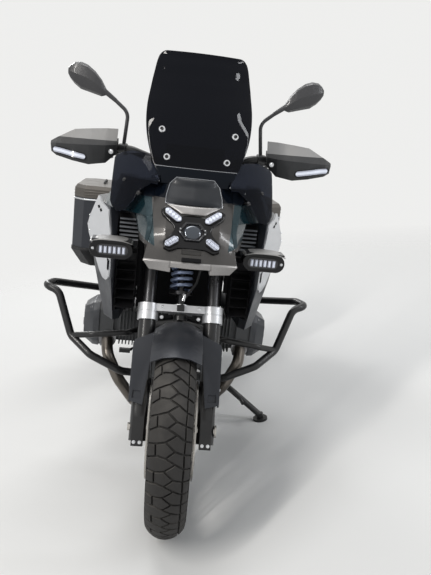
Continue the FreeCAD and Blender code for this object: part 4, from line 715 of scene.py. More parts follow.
# One pitch of the tread, seen with the tyre's front turned up: blocks between the centres of the grooves.
# Each point is (share of the half width, share of the pitch).
TREAD = [
    [(-0.65, 0.41), (-0.585, 0.417), (-0.19, 0.49), (0.25, 0.185), (-0.15, -0.06), (-0.5, 0.0),
     (-0.62, -0.02)],
    [(-0.15, -0.06), (0.25, 0.185), (0.68, 0.06), (0.70, -0.47), (0.30, -0.255)],
    [(-0.19, 0.49), (0.25, 0.185), (0.68, 0.06), (0.70, 0.53), (0.30, 0.745)],
    [(-1, 0.375), (-0.65, 0.41), (-0.585, 0.417), (-0.19, 0.49), (0.30, 0.745), (-0.15, 0.94),
     (-0.5, 1.0), (-0.62, 0.98), (-1, 0.85)],
    [(-1, -0.15), (-0.62, -0.02), (-0.65, 0.41), (-1, 0.375)],
    [(0.68, 0.06), (1, -0.02), (1, 0.47), (0.70, 0.53)],
    [(0.70, 0.53), (1, 0.47), (1, 0.98), (0.68, 1.06)],
]
TREAD_DEPTH, GROOVE_WIDE = 0.0065, 0.0055
# the blocks are cut into strips this wide, so that they bend with the crown
TREAD_STEP = 0.006


def shrunk(outline, by):
    """A closed outline with each side moved inward."""
    area = sum(a[0] * b[1] - b[0] * a[1] for a, b in zip(outline, outline[1:] + outline[:1]))
    facing = 1.0 if area > 0 else -1.0
    count = len(outline)
    made = []
    for k in range(count):
        before, here, after = (Vector(outline[(k + d) % count]) for d in (-1, 0, 1))
        first, second = (here - before).normalized(), (after - here).normalized()
        normals = [Vector((-d.y, d.x)) * facing for d in (first, second)]
        middle = normals[0] + normals[1]
        middle = middle / max(0.35, middle.length_squared / 2)
        made.append(tuple(here + middle * by))
    return made


def tread_blocks(bm, crown, half, reach, centre, count):
    """Tread blocks cut as a flat pitch, then bent round the crown and copied round the wheel."""
    pitch = 2 * math.pi * reach / count
    edge = crown * math.asin(min(1.0, half / crown))
    foot = -TREAD_DEPTH - 0.0005
    flat = bmesh.new()
    for outline in TREAD:
        points = [(crown * math.asin(max(-1.0, min(1.0, u * half / crown))), v * pitch) for u, v in outline]
        top, lip = shrunk(points, GROOVE_WIDE / 2 + 0.0009), shrunk(points, GROOVE_WIDE / 2)
        rings = [[Vector((x, y, h)) for x, y in loop]
                 for loop, h in ((top, 0.0), (lip, -0.0011), (lip, foot))]
        made = sheet(flat, rings, closed=True)
        flat.faces.new(list(reversed(made[0])))
    for k in range(1, int(2 * edge / TREAD_STEP)):
        sliced(flat, X * (-edge + TREAD_STEP * k), X, dist=1e-6)
    for k in range(1, 14):
        sliced(flat, Y * pitch * (-0.6 + 0.125 * k), Y, dist=1e-6)
    bmesh.ops.triangulate(flat, faces=[f for f in flat.faces if len(f.verts) > 4])
    bmesh.ops.recalc_face_normals(flat, faces=flat.faces)
    flat.verts.index_update()
    places = [v.co.copy() for v in flat.verts]
    loops = [[v.index for v in f.verts] for f in flat.faces]
    flat.free()
    for k in range(count):
        turned = []
        for x, y, h in places:
            around, across = (y / pitch + k) * 2 * math.pi / count, x / crown
            radius = reach - crown + (crown + h) * math.cos(across)
            place = ((crown + h) * math.sin(across), -radius * math.cos(around), radius * math.sin(around))
            turned.append(bm.verts.new(centre + Vector(place)))
        for loop in loops:
            bm.faces.new([turned[i] for i in loop])


def sidewall(half, shoulder, seat, rim_half):
    """A sidewall from the tread's edge to the rim: a shoulder step, a ring, a bulge and the bead."""
    step = [(0.0005, 0.001), (-0.0005, 0.006), (-0.0003, 0.012), (0.0012, 0.0125), (0.0016, 0.0165),
            (0.0008, 0.0172)]
    side = [(half - inward, shoulder - down) for inward, down in step]
    high, low = Vector((half - 0.003, shoulder - 0.024)), Vector((rim_half + 0.006, seat + 0.016))
    bulge = (high - low).length * 0.1
    for t in (0.0, 0.25, 0.5, 0.75, 1.0):
        point = high.lerp(low, t)
        side.append((point.x + bulge * math.sin(math.pi * t), point.y))
    bead = [(0.0055, 0.0135), (0.002, 0.0115), (0, 0.010), (0, 0)]
    return side + [(rim_half + out, seat + up) for out, up in bead]


def make_tyre(node, body, centre, reach, half, crown, seat, rim_half, count):
    bm = bmesh.new()
    edge = math.asin(half / crown)
    base = crown - TREAD_DEPTH
    angles = [-edge + 2 * edge * k / 28 for k in range(29)]
    casing = [(base * math.sin(a), reach - crown + base * math.cos(a)) for a in angles]
    side = sidewall(half, reach - crown + crown * math.cos(edge), seat, rim_half)
    whole = [(-x, r) for x, r in reversed(side)] + casing + side
    lathe(bm, whole + whole[:1], centre, 150)
    tread_blocks(bm, crown, half, reach, centre, count)
    bmesh.ops.recalc_face_normals(bm, faces=bm.faces)
    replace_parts(upright(node + "_treaded", bm, body, "tyre_rubber"), node)


# node, body, axle, radius, half width, crown's radius, rim's seat radius, rim's half width, pitches
TYRES = [
    ("front_tyre", "front_wheel", FRONT_AXLE, 0.325, 0.060, 0.0665, FRONT_SEAT, FRONT_RIM_HALF, 26),
    ("rear_tyre", "rear_wheel", REAR_AXLE, 0.318, 0.085, 0.0995, REAR_SEAT, REAR_RIM_HALF, 24),
]


def make_tyres():
    for tyre in TYRES:
        make_tyre(*tyre)


# Windscreen

# height, place of the middle, half width, how far the edges lie back
SCREEN_ROWS = [(1.0825, -0.664, 0.108, 0.016), (1.150, -0.646, 0.138, 0.020), (1.225, -0.619, 0.160, 0.030),
               (1.300, -0.584, 0.166, 0.040), (1.385, -0.537, 0.157, 0.041), (1.440, -0.507, 0.148, 0.036),
               (1.481, -0.485, 0.139, 0.031)]
# how far below the top the corners begin to round, the pane's lowest height and its wall
SCREEN_CROWN, SCREEN_FOOT, SCREEN_WALL = 0.026, 1.122, 0.004
# the rows of faces below the crown and in it, and the columns
SCREEN_LEVELS, CROWN_LEVELS, SCREEN_COLUMNS = 30, 14, 40
# the foot's lowest height, how high it is, its wall, and the height of the thin light line on it, a painted
# highlight
FOOT_LOW, FOOT_HIGH, FOOT_WALL, FOOT_HIGHLIGHT_Z = 1.080, 0.05, 0.008, 1.1305
# across and height of the left side's bolts
SCREEN_BOLTS = [(0.70, 1.238), (0.655, 1.158)]


def screen_row(z):
    """The screen at a height: the place of its middle, its half width and how far its edges lie back."""
    rows = SCREEN_ROWS
    k = max(0, min(len(rows) - 2, sum(1 for row in rows[1:-1] if z > row[0])))
    a, b, c, d = rows[max(0, k - 1)], rows[k], rows[k + 1], rows[min(len(rows) - 1, k + 2)]
    return between_four(a, b, c, d, (z - b[0]) / (c[0] - b[0]))[1:]


def screen_point(s, z, lift=0.0):
    """A point of the screen, s from -1 at one edge to 1 at the other."""
    y, half, back = screen_row(z)
    rise = max(0.0, 1 - (SCREEN_ROWS[-1][0] - z) / SCREEN_CROWN)
    narrow = 1 - 0.17 * (1 - max(0.0, 1 - rise ** 2.2) ** (1 / 2.2))
    share = s * narrow
    return Vector((share * half, y + back * share * share - lift, z))


def make_screen():
    bm = bmesh.new()
    low, high = SCREEN_FOOT, SCREEN_ROWS[-1][0]
    turn = high - SCREEN_CROWN
    heights = [low + (turn - low) * k / SCREEN_LEVELS for k in range(SCREEN_LEVELS)]
    heights += [turn + SCREEN_CROWN * (1 - (1 - k / CROWN_LEVELS) ** 2.4) for k in range(CROWN_LEVELS)]
    heights.append(high - 1e-5)
    last = len(heights) - 1
    grid(bm, SCREEN_COLUMNS, last, lambda s, t: screen_point(2 * s - 1, heights[round(t * last)]))
    made = upright("screen_pane", bm, "root", "smoked_screen")
    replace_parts(rounded(backed(made, SCREEN_WALL), 0.0012, 2, 60), "windscreen")
    make_screen_foot()
    bolts, washers = bmesh.new(), bmesh.new()
    for side in (1, -1):
        for share, z in SCREEN_BOLTS:
            at = screen_point(side * share, z)
            across = screen_point(side * share + 0.05, z) - screen_point(side * share - 0.05, z)
            rise = screen_point(side * share, z + 0.01) - screen_point(side * share, z - 0.01)
            out = across.cross(rise).normalized()
            bolt(bolts, at, out, 0.0055, 0.006)
            post(washers, at - out * 0.001, at + out * 0.0022, 0.0115, 28, 0.0095)
    upright("screen_bolts", bolts, "root", "black_metal")
    upright("screen_washers", washers, "root", "steel", "bright_chrome")


def make_screen_foot():
    """The gloss foot that the pane rises from, and a thin light line along the pane's lower edge, which is a
    painted highlight.
    """
    bm = bmesh.new()
    grid(bm, 32, 10, lambda s, t: screen_point(2 * s - 1, FOOT_LOW + FOOT_HIGH * t, 0.002))
    foot = upright("screen_foot", bm, "root", "lamp_black", "cowl_gloss")
    rounded(backed(foot, FOOT_WALL), 0.0015, 2, 60)
    bm = bmesh.new()
    # a thin light line along the foot: a painted highlight on the pane's lower edge
    line = [screen_point(-0.98 + 1.96 * k / 24, FOOT_HIGHLIGHT_Z, 0.0025) for k in range(25)]
    pipe(bm, line, 0.0011, 8, 1)
    upright("screen_foot_painted_highlight", bm, "root", "body_bronze", "edge_painted_highlight")


# Headlamp

LAMP_AT = Matrix.Translation((0, -0.776, 0.955)) @ Matrix.Rotation(math.radians(-39), 4, "X")


def mm(points):
    """Points given in millimetres, in metres."""
    return [tuple(c / 1000 for c in p) for p in points]


def both_sides(points):
    """A closed outline from its right half, listed from the top middle to the bottom middle."""
    return list(points) + [(-x, z) for x, z in reversed(points) if abs(x) > 1e-9]


LAMP_FACE = mm([(0, 54), (38, 54), (62, 76), (80, 84), (96, 72), (90, 52), (58, 20), (54, 2), (66, -14),
                (84, -34), (80, -56), (64, -64), (40, -54), (0, -54)])
# each bar from its inner end to its outer end
LAMP_BARS = [mm([(36, 33), (82, 69)]), mm([(41, -23), (77, -51)])]
# widths of a bar's frame, its lit strip and the cells in it, how many cells, and a bar's corner as a
# share of its width
FRAME_WIDE, STRIP_WIDE, CELL_WIDE, CELLS_PER_BAR, BAR_CORNER = 0.028, 0.0205, 0.0135, 5, 0.35
# where the lamp's face and a bar's parts begin and end in depth, from the lamp's plane
FACE_DEPTHS, FRAME_DEPTHS = (-0.004, 0.058), (-0.0085, 0.002)
STRIP_DEPTHS, CELL_DEPTHS = (-0.0105, -0.004), (-0.0113, -0.006)
# the projector's frame as (radius, depth) rings, its lens, and the place of its screws
PROJECTOR_RINGS = [(0.035, -0.002), (0.035, -0.0095), (0.0325, -0.011), (0.029, -0.008), (0.0275, -0.003)]
PROJECTOR_WIDER, LENS_RADIUS, LENS_DEEP, LENS_WIDER = 1.22, 0.024, 0.007, 1.1
PROJECTOR_SCREW = (0.036, 0.006)


def lamp_strip(start, end, wide):
    """The outline of a bar with cut corners."""
    start, end = Vector(start), Vector(end)
    along = (end - start).normalized()
    side = Vector((-along.y, along.x)) * wide / 2
    clip = along * wide * BAR_CORNER
    return [tuple(p) for p in (start + clip + side, end - clip + side, end + side * 0.3, end - side * 0.3,
                               end - clip - side, start + clip - side, start - side * 0.3,
                               start + side * 0.3)]


def make_headlamp():
    bm = bmesh.new()
    plate(bm, both_sides(LAMP_FACE), *FACE_DEPTHS, LAMP_AT)
    tidy(bm)
    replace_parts(rounded(upright("lamp_face", bm, "root", "lamp_black"), 0.003, 3), "headlamp")
    frames, strips, cells = bmesh.new(), bmesh.new(), bmesh.new()
    for side in (1, -1):
        for bar in LAMP_BARS:
            first, last = (Vector((p[0] * side, p[1])) for p in bar)
            plate(frames, lamp_strip(first, last, FRAME_WIDE), *FRAME_DEPTHS, LAMP_AT)
            plate(strips, lamp_strip(first, last, STRIP_WIDE), *STRIP_DEPTHS, LAMP_AT)
            for k in range(CELLS_PER_BAR):
                at = first.lerp(last, (k + 0.5) / CELLS_PER_BAR)
                cell = lamp_strip(at - (last - first) * 0.075, at + (last - first) * 0.096, CELL_WIDE)
                plate(cells, cell, *CELL_DEPTHS, LAMP_AT)
    for mesh in (frames, strips, cells):
        tidy(mesh)
    rounded(upright("lamp_bar_frames", frames, "root", "lamp_black"), 0.0015, 2)
    bars = rounded(upright("lamp_light_bars", strips, "root", "lamp_clear"), 0.0015, 2)
    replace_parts(bars, "lamp_bars")
    rounded(upright("lamp_light_cells", cells, "root", "lamp_clear", "lamp_glow"), 0.001, 2)
    make_projector()


def make_projector():
    """A dark six-sided well with a lens and four bright screws."""
    bm = bmesh.new()
    corners = [math.radians(60 * k) for k in range(6)]
    rings = [[LAMP_AT @ Vector((r * PROJECTOR_WIDER * math.cos(a), y, r * math.sin(a))) for a in corners]
             for r, y in PROJECTOR_RINGS]
    capped(bm, rings)
    rounded(upright("projector_frame", bm, "root", "lamp_black", "projector_black"), 0.0012, 2)
    bm = bmesh.new()
    dome(bm, Vector((0, -0.003, 0)), -Y, LENS_RADIUS, LENS_DEEP, 36)
    wider = Matrix.Diagonal((LENS_WIDER, 1, 1, 1))
    bmesh.ops.transform(bm, matrix=LAMP_AT @ wider, verts=bm.verts)
    upright("projector_lens", bm, "root", "lamp_clear", "lens_dark")
    bm = bmesh.new()
    for x, z in both_sides([PROJECTOR_SCREW, (PROJECTOR_SCREW[0], -PROJECTOR_SCREW[1])]):
        post(bm, LAMP_AT @ Vector((x, -0.004, z)), LAMP_AT @ Vector((x, -0.0105, z)), 0.0022, 12)
    upright("projector_screws", bm, "root", "steel", "bright_chrome")


# Bodywork: copies of the nodes with rounded edges

# node, corner radius, sharpest edge left alone in degrees
ROUNDED_NODES = [
    ("tank_cover", 0.014, 12), ("tank_flanks", 0.006, 14), ("flank_plates", 0.0022, 30),
    ("front_mudguard", 0.002, 24), ("instrument", 0.004, 30), ("fork_bridge", 0.003, 30),
    ("top_yoke", 0.003, 30), ("fork_sliders", 0.003, 30), ("brake_calipers", 0.004, 30),
    ("engine_case", 0.006, 20), ("head_covers", 0.008, 12), ("swingarm", 0.005, 20),
    ("footrests", 0.002, 30), ("silencer", 0.008, 14), ("mirrors", 0.005, 14), ("aux_lamps", 0.003, 30),
    ("bar_controls", 0.004, 30), ("pannier_boxes", 0.005, 20), ("pannier_lid_left", 0.005, 20),
    ("pannier_lid_right", 0.005, 20), ("skid_plate", 0.0015, 30), ("radiators", 0.003, 30),
    ("plate_holder", 0.003, 20), ("luggage_rack", 0.0015, 40), ("tail_light", 0.004, 30),
]
NODE_FINISHES = {"exhaust_headers": "header_steel", "pannier_lid_left": "lid_bronze",
                 "pannier_lid_right": "lid_bronze", "mirrors": "mirror_shell", "duct_louvres": "duct_black_and_painted_shade",
                 "radiators": "duct_black_and_painted_shade"}
# where the hand guards' spoilers begin, which are given a lighter grey as a painted highlight
SPOILER_FOOT = Vector((0, 0, 1.1885))


def make_rounded_nodes():
    for node, width, sharp in ROUNDED_NODES:
        softened(node, width, sharp, NODE_FINISHES.get(node))
    # the guards' spoilers are given a lighter grey: a painted highlight on their upward slope
    softened("handguards", 0.003, 20, cut=(SPOILER_FOOT, Z), rest=("grey_plastic", "grey_painted_highlight"))


# Nose panel: a slate dome over a bronze band, whose lighter bronze is a painted highlight

# height, place of the middle, place of the corner, half width
NOSE_EDGE = [(0.846, -0.838, -0.828, 0.064), (0.872, -0.832, -0.826, 0.070), (0.960, -0.786, -0.773, 0.080),
             (1.082, -0.668, -0.659, 0.077), (1.150, -0.648, -0.640, 0.077)]
# height, half width
PANEL_ROWS = [(1.003, 0.036), (1.016, 0.062), (1.028, 0.085), (1.050, 0.084), (1.082, 0.076), (1.102, 0.062)]
# name, foot, top, how far it bulges, how far it stands off, slot, finish, the node that it stands for
NOSE_SHEETS = [
    ("nose_panel_dome", 1.0275, 1.1015, 0.0095, 0.0045, "body_slate", "panel_slate", "nose_panel"),
    # the band wears the lighter bronze of a painted highlight
    ("nose_panel_band", 1.0035, 1.0265, 0.0045, 0.0035, "body_bronze", "bronze_painted_highlight", None),
]
PANEL_GAP, PANEL_WALL = 0.001, 0.003
# height and share of the half width round the dome's edge, where a thin light line is a painted highlight
PANEL_HIGHLIGHT = [(1.0268, 0.9), (1.028, 1), (1.05, 1), (1.082, 1), (1.102, 0.92), (1.1025, 0.5), (1.1025, -0.5),
              (1.102, -0.92), (1.082, -1), (1.05, -1), (1.028, -1), (1.0268, -0.9), (1.0268, 0.9)]


def between(rows, z, column):
    """A value of a table of rows whose first column is a height."""
    for low, high in zip(rows, rows[1:]):
        if z <= high[0]:
            t = max(0.0, (z - low[0]) / (high[0] - low[0]))
            return low[column] + (high[column] - low[column]) * t
    return rows[-1][column]


def nose_place(share, z, lift, inset=0.0):
    """A point of the nose's front, a share of the panel's half width from its middle."""
    middle, corner, half = (between(NOSE_EDGE, z, k) for k in (1, 2, 3))
    x = share * (between(PANEL_ROWS, z, 1) - inset)
    return Vector((x, middle + (corner - middle) * abs(x) / half - lift, z))


def make_nose_panel():
    for name, low, high, bulge, lift, slot, finish, node in NOSE_SHEETS:
        def place(s, t):
            share = 2 * s - 1
            risen = (1 - abs(share) ** 4) * min(1.0, 6 * t, 6 * (1 - t) + 0.15)
            return nose_place(share, low + (high - low) * t, lift + bulge * risen, PANEL_GAP)
        bm = bmesh.new()
        grid(bm, 32, 14, place)
        made = rounded(thickened(upright(name, bm, "root", slot, finish), PANEL_WALL), 0.001, 2, 50)
        if node:
            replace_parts(made, node)
    bm = bmesh.new()
    # a thin light line round the dome's edge: a painted highlight
    pipe(bm, [nose_place(share, z, 0.0042) for z, share in PANEL_HIGHLIGHT], 0.0012, 8, 1)
    upright("nose_panel_painted_highlight", bm, "root", "body_bronze", "edge_painted_highlight")


# Nose and side cowls: gloss tops, teal panels outside, bronze between and below them

# each node's height where its gloss top begins, and the height of the nose's lip, which is given lighter bronze as
# a painted highlight
GLOSS_FOOT = {"nose_cowl": 1.040, "side_cowls": 1.037}
LIP_TOP = 0.877
# the dark slot in the nose over the lip: place, size and tilt
SLOT_AT, SLOT_SIZE, SLOT_TILT = (0.001, -0.8275, 0.8845), (0.056, 0.008, 0.012), math.radians(-27)
# on the left side: a place and the direction out of it
TEAL_INNER = (Vector((0.107, 0, 0.912)), Vector((0.988, 0, -0.153)))
TEAL_LOWER = (Vector((0.110, 0, 0.912)), Vector((0.418, 0, -0.908)))


def mirrored_plane(plane, side):
    return [Vector((side * v.x, v.y, v.z)) for v in plane]


def make_cowls():
    for node, top in GLOSS_FOOT.items():
        whole = merged_copy(node)
        bmesh.ops.transform(whole, matrix=PARKED.inverted(), verts=whole.verts)
        gloss, whole = kept_side(whole, Z * top, -Z), kept_side(whole, Z * top, Z)
        rounded(upright(node + "_gloss", gloss, "root", "lamp_black", "cowl_gloss"), 0.004, 3, 10)
        if node == "nose_cowl":
            # the lip's lighter bronze is a painted highlight for the light that it catches
            lip, whole = kept_side(whole, Z * LIP_TOP, Z), kept_side(whole, Z * LIP_TOP, -Z)
            rounded(upright("nose_lip", lip, "root", "body_bronze", "bronze_painted_highlight"), 0.0028, 3, 12)
        bronze = [("middle", whole)]
        for side, word in SIDE_WORDS:
            inner, inner_out = mirrored_plane(TEAL_INNER, side)
            lower, lower_out = mirrored_plane(TEAL_LOWER, side)
            outside = kept_side(whole, inner, -inner_out)
            bronze[0] = ("middle", kept_side(bronze[0][1], inner, inner_out))
            bronze.append((word, kept_side(outside, lower, -lower_out)))
            teal = kept_side(outside, lower, lower_out)
            rounded(upright(node + "_teal_" + word, teal, "root", "body_teal"), 0.0035, 3, 10)
        for word, part in bronze:
            if part.verts:
                made = upright(node + "_bronze_" + word, part, "root", "body_bronze")
                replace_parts(rounded(made, 0.0028, 3, 12), node)
    slot = bmesh.new()
    block(slot, SLOT_AT, SLOT_SIZE, Matrix.Rotation(SLOT_TILT, 3, "X"))
    rounded(upright("nose_slot", slot, "root", "lamp_black", "duct_black_and_painted_shade"), 0.002, 3)


# Deflectors: smoked plates outside the cowls' tops

# (across, height) round the left plate
DEFLECTOR = [(0.106, 1.100), (0.118, 1.148), (0.160, 1.160), (0.203, 1.162), (0.243, 1.148), (0.254, 1.135),
             (0.253, 1.010), (0.244, 0.994), (0.228, 0.985), (0.205, 0.992), (0.188, 1.015), (0.160, 1.055),
             (0.132, 1.078), (0.112, 1.076)]
# across and height of the left plate's bolts
DEFLECTOR_BOLTS = [(0.168, 1.045), (0.215, 1.075)]
# the plates are cut this fine across and up, so that they bend
DEFLECTOR_STEPS = (0.013, 0.0152)


def deflector_place(x, z):
    """A point of the left plate, which leans back upwards and outwards."""
    lean = 0.68 * (z - 0.985) + 2.5 * max(0.0, z - 1.05) ** 2
    return Vector((x, -0.728 + lean + (x - 0.138) * 0.75 + 4 * (x - 0.138) * (x - 0.26), z))


def make_deflectors():
    bm, bolts = bmesh.new(), bmesh.new()
    bm.faces.new([bm.verts.new((x, 0, z)) for x, z in DEFLECTOR])
    for k in range(1, 12):
        sliced(bm, X * (0.106 + DEFLECTOR_STEPS[0] * k), X, dist=1e-6)
        sliced(bm, Z * (0.985 + DEFLECTOR_STEPS[1] * k), Z, dist=1e-6)
    for vertex in bm.verts:
        vertex.co = deflector_place(vertex.co.x, vertex.co.z)
    for x, z in DEFLECTOR_BOLTS:
        at = deflector_place(x, z)
        bolt(bolts, at - Y * 0.001, (0.5, -0.8, 0.3), 0.005, 0.004)
        post(bolts, at, at + Vector((-0.012, 0.042, -0.006)), 0.004, 14)
    made = upright("deflector_plates", both_halves(bm), "root", "smoked_screen", "smoked_plate")
    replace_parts(rounded(thickened(made, 0.003, 0.0), 0.0008, 2, 50), "deflectors")
    upright("deflector_bolts", both_halves(bolts), "root", "black_metal")


# Pill shapes: a hand guard's light and the auxiliary lamps

def lozenge(bm, line, up, out, half, front, back):
    """A bar with half-round ends along a line, standing out of a surface."""
    line = curve_through(line, 8)
    lengths = [0.0]
    for a, b in zip(line, line[1:]):
        lengths.append(lengths[-1] + (b - a).length)
    total = lengths[-1]
    rings = []
    for share in [0.5 - 0.5 * math.cos(math.pi * k / 24) for k in range(25)]:
        at = share * total
        k = max(0, min(len(line) - 2, sum(1 for d in lengths[1:-1] if at > d)))
        point = line[k].lerp(line[k + 1], (at - lengths[k]) / (lengths[k + 1] - lengths[k]))
        end = min(at, total - at)
        reach = math.sqrt(max(0.0, half ** 2 - max(0.0, half - end) ** 2)) + 1e-5
        rings.append([point + up * reach * u + out * (front if raised else -back) for u, raised in
                      ((1, False), (1, True), (0.5, True), (-0.5, True), (-1, True), (-1, False))])
    capped(bm, rings)


# the left hand guard's light from its inner to its outer end, and the guard's screw
GUARD_LIGHT = mm([(354, -430.5, 1128), (380, -427.5, 1132), (410, -420, 1137), (440, -405, 1142),
                  (470, -387, 1145)])
GUARD_LIGHT_UP = Vector((0, 0.17, 0.98)).normalized()
GUARD_LIGHT_OUT = Vector((0.25, -0.96, 0.12)).normalized()
GUARD_SCREW = (0.272, -0.4245, 1.153)


def make_guard_lights():
    rims, strips, cells, screws = (bmesh.new() for _ in range(4))
    # half height, how far it stands out, how far it reaches back
    for mesh, sizes in ((rims, (0.0115, 0.0035, 0.006)), (strips, (0.0085, 0.0052, 0.002)),
                        (cells, (0.0042, 0.0058, 0.002))):
        lozenge(mesh, GUARD_LIGHT, GUARD_LIGHT_UP, GUARD_LIGHT_OUT, *sizes)
    bolt(screws, GUARD_SCREW, -Y, 0.0055, 0.005)
    for mesh in (rims, strips, cells, screws):
        both_halves(mesh)
    rounded(upright("guard_light_rims", rims, "steering", "lamp_black"), 0.001, 2)
    rounded(upright("guard_light_strips", strips, "steering", "lamp_clear"), 0.001, 2)
    upright("guard_light_cells", cells, "steering", "lamp_clear", "lamp_glow")
    upright("guard_screws", screws, "steering", "steel", "bright_chrome")


# the left auxiliary lamp, its row of cells and its visor
AUX_AT = Vector((0.236, -0.668, 0.868))
AUX_CELLS, AUX_FIRST, AUX_APART = 6, -0.0385, 0.0138
VISOR_HALF, VISOR_UP, VISOR_DROP, VISOR_SWEEP = 0.064, 0.0335, 0.010, 0.008


def make_aux_lamps():
    rims, wells, cells, chips, screws, visors = (bmesh.new() for _ in range(6))
    face = AUX_AT - Y * 0.023
    route = [face + X * d for d in (-0.052, -0.02, 0.012, 0.044)]
    lozenge(rims, route, Z, -Y, 0.0185, 0.003, 0.004)
    lozenge(wells, route, Z, -Y, 0.016, 0.0036, 0.001)
    for k in range(AUX_CELLS):
        at = face + X * (AUX_FIRST + k * AUX_APART)
        block(cells, at - Y * 0.0045, (0.0098, 0.007, 0.022))
        block(chips, at - Y * 0.0080, (0.0045, 0.003, 0.017))
    bolt(screws, face + X * 0.0555, -Y, 0.0032, 0.0035)
    rings = []
    for share in (-1 + k / 6 for k in range(13)):
        at = AUX_AT + X * share * VISOR_HALF + Z * (VISOR_UP - VISOR_DROP * abs(share) ** 3)
        lip = -0.043 + VISOR_SWEEP * share * share
        section = ((lip, -0.0025), (lip, 0), (-0.02, 0.0035), (0.02, 0.0035), (0.024, 0), (0.024, -0.0045))
        rings.append([at + Y * y + Z * h for y, h in section])
    capped(visors, rings)
    for mesh in (rims, wells, cells, chips, screws, visors):
        both_halves(mesh)
    rounded(upright("aux_lamp_rims", rims, "root", "lamp_black"), 0.001, 2)
    upright("aux_lamp_wells", wells, "root", "lamp_black", "projector_black")
    rounded(upright("aux_lamp_cells", cells, "root", "lamp_clear"), 0.0018, 2)
    rounded(upright("aux_lamp_chips", chips, "root", "lamp_clear", "lamp_glow"), 0.0008, 2)
    upright("aux_lamp_screws", screws, "root", "steel", "bright_chrome")
    # the black visors are given light grey: a painted highlight on their tops
    rounded(upright("aux_lamp_visors", visors, "root", "lamp_black", "grey_painted_highlight"), 0.001, 2)


# Mirrors' glass

# on the left: across, along, height, half height
MIRROR_ROWS = [(0.308, -0.341, 1.346, 0.010), (0.322, -0.337, 1.358, 0.023), (0.345, -0.332, 1.374, 0.031),
               (0.371, -0.328, 1.387, 0.036), (0.394, -0.327, 1.394, 0.036), (0.416, -0.326, 1.401, 0.029),
               (0.430, -0.328, 1.404, 0.018)]


def make_mirror_glass():
    bm = bmesh.new()
    columns = [curve_through([(x, y + 0.0015, z + high * u) for x, y, z, high in MIRROR_ROWS], 4)
               for u in (-1, -0.5, 0, 0.5, 1)]
    last = len(columns[0]) - 1
    # drawn from the outer end inwards, so that the glass faces the rider
    grid(bm, last, 4, lambda s, t: columns[round(4 * t)][last - round(s * last)])
    thickened(upright("mirror_glass", both_halves(bm), "steering", "steel", "mirror_glass"), 0.0025)


# Fine parts of the front

# place and size of the left panel and of the middle one that close the view between the ducts: dark sheets of
# painted shade
SHADE_PANEL_SIDE, SHADE_PANEL_MIDDLE = (((0.150, -0.505, 0.8275), (0.018, 0.012, 0.225)),
                              ((0, -0.362, 0.7425), (0.31, 0.010, 0.285)))


def make_painted_shade_panels():
    """Dark sheets of painted shade that close the view between the ducts, behind the fork's sweep."""
    bm = bmesh.new()
    block(bm, *SHADE_PANEL_SIDE)
    both_halves(bm)
    block(bm, *SHADE_PANEL_MIDDLE)
    rounded(upright("painted_shade_panels", bm, "root", "black_plastic", "duct_black_and_painted_shade"), 0.002, 2)


DAMPER_FOOT, DAMPER_TOP, DAMPER_RADIUS = Vector((0, -0.474, 0.634)), Vector((0, -0.400, 0.846)), 0.013
SPRING_TURNS, SPRING_RADIUS, SPRING_WIRE, SPRING_STEPS = 4.3, 0.034, 0.0058, 120
# the spring's plates: how far each stands from the damper's foot or top, radius and thickness
PLATE_FOOT, PLATE_TOP, PLATE_RADIUS, PLATE_THICK = 0.062, 0.058, 0.041, 0.012
EYE_RADIUS, EYE_HALF = 0.016, 0.018


def make_front_spring():
    """The front spring with open coils round its dark damper."""
    along = (DAMPER_TOP - DAMPER_FOOT).normalized()
    across = along.cross(X)
    low, high = DAMPER_FOOT + along * PLATE_FOOT, DAMPER_TOP - along * PLATE_TOP
    damper = bmesh.new()
    post(damper, DAMPER_FOOT, DAMPER_TOP, DAMPER_RADIUS, 28)
    post(damper, low - along * PLATE_THICK, low, PLATE_RADIUS, 40)
    post(damper, high, high + along * PLATE_THICK, PLATE_RADIUS, 40)
    for end in (DAMPER_FOOT, DAMPER_TOP):
        post(damper, end - X * EYE_HALF, end + X * EYE_HALF, EYE_RADIUS, 28)
    rounded(upright("front_damper", damper, "root", "dark_steel"), 0.001, 2)
    clear = SPRING_WIRE + 0.0005
    start, span = low + along * clear, (high - low).length - 2 * clear
    line = []
    for k in range(SPRING_STEPS + 1):
        share = k / SPRING_STEPS
        turn = 2 * math.pi * SPRING_TURNS * share
        out = X * math.cos(turn) + across * math.sin(turn)
        line.append(start + along * span * share + out * SPRING_RADIUS)
    bm = bmesh.new()
    pipe(bm, line, SPRING_WIRE, 14, 1)
    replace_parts(upright("front_spring", bm, "root", "spring_steel"), "front_shock")


# the left duct's blades: how many, the lowest one, how far apart, size and tilt
BLADES, BLADE_AT, BLADES_APART = 6, Vector((0.190, -0.5883, 0.8862)), 0.013
BLADE_SIZE, BLADE_TILT = (0.061, 0.007, 0.0034), math.radians(25)
# on the left flank plate
RIVETS = [(0.3145, -0.462, 0.845), (0.3275, -0.4445, 0.878), (0.332, -0.438, 0.905), (0.330, -0.4375, 0.932),
          (0.300, -0.4905, 0.806)]
RIVET_OUT = Vector((0.86, -0.5, 0))


def make_front_details():
    """The ducts' blades and the flank plates' rivets."""
    blades, rivets = bmesh.new(), bmesh.new()
    for k in range(BLADES):
        block(blades, BLADE_AT + Z * BLADES_APART * k, BLADE_SIZE, Matrix.Rotation(BLADE_TILT, 3, "X"))
    # the black plastic blades are given light grey: a painted highlight on their lit edges
    rounded(upright("duct_blades", both_halves(blades), "root", "black_plastic", "blade_painted_highlight"), 0.0006, 2)
    for place in RIVETS:
        bolt(rivets, place, RIVET_OUT, 0.0028, 0.0022)
    upright("flank_rivets", both_halves(rivets), "root", "silver_alloy", "bright_chrome")


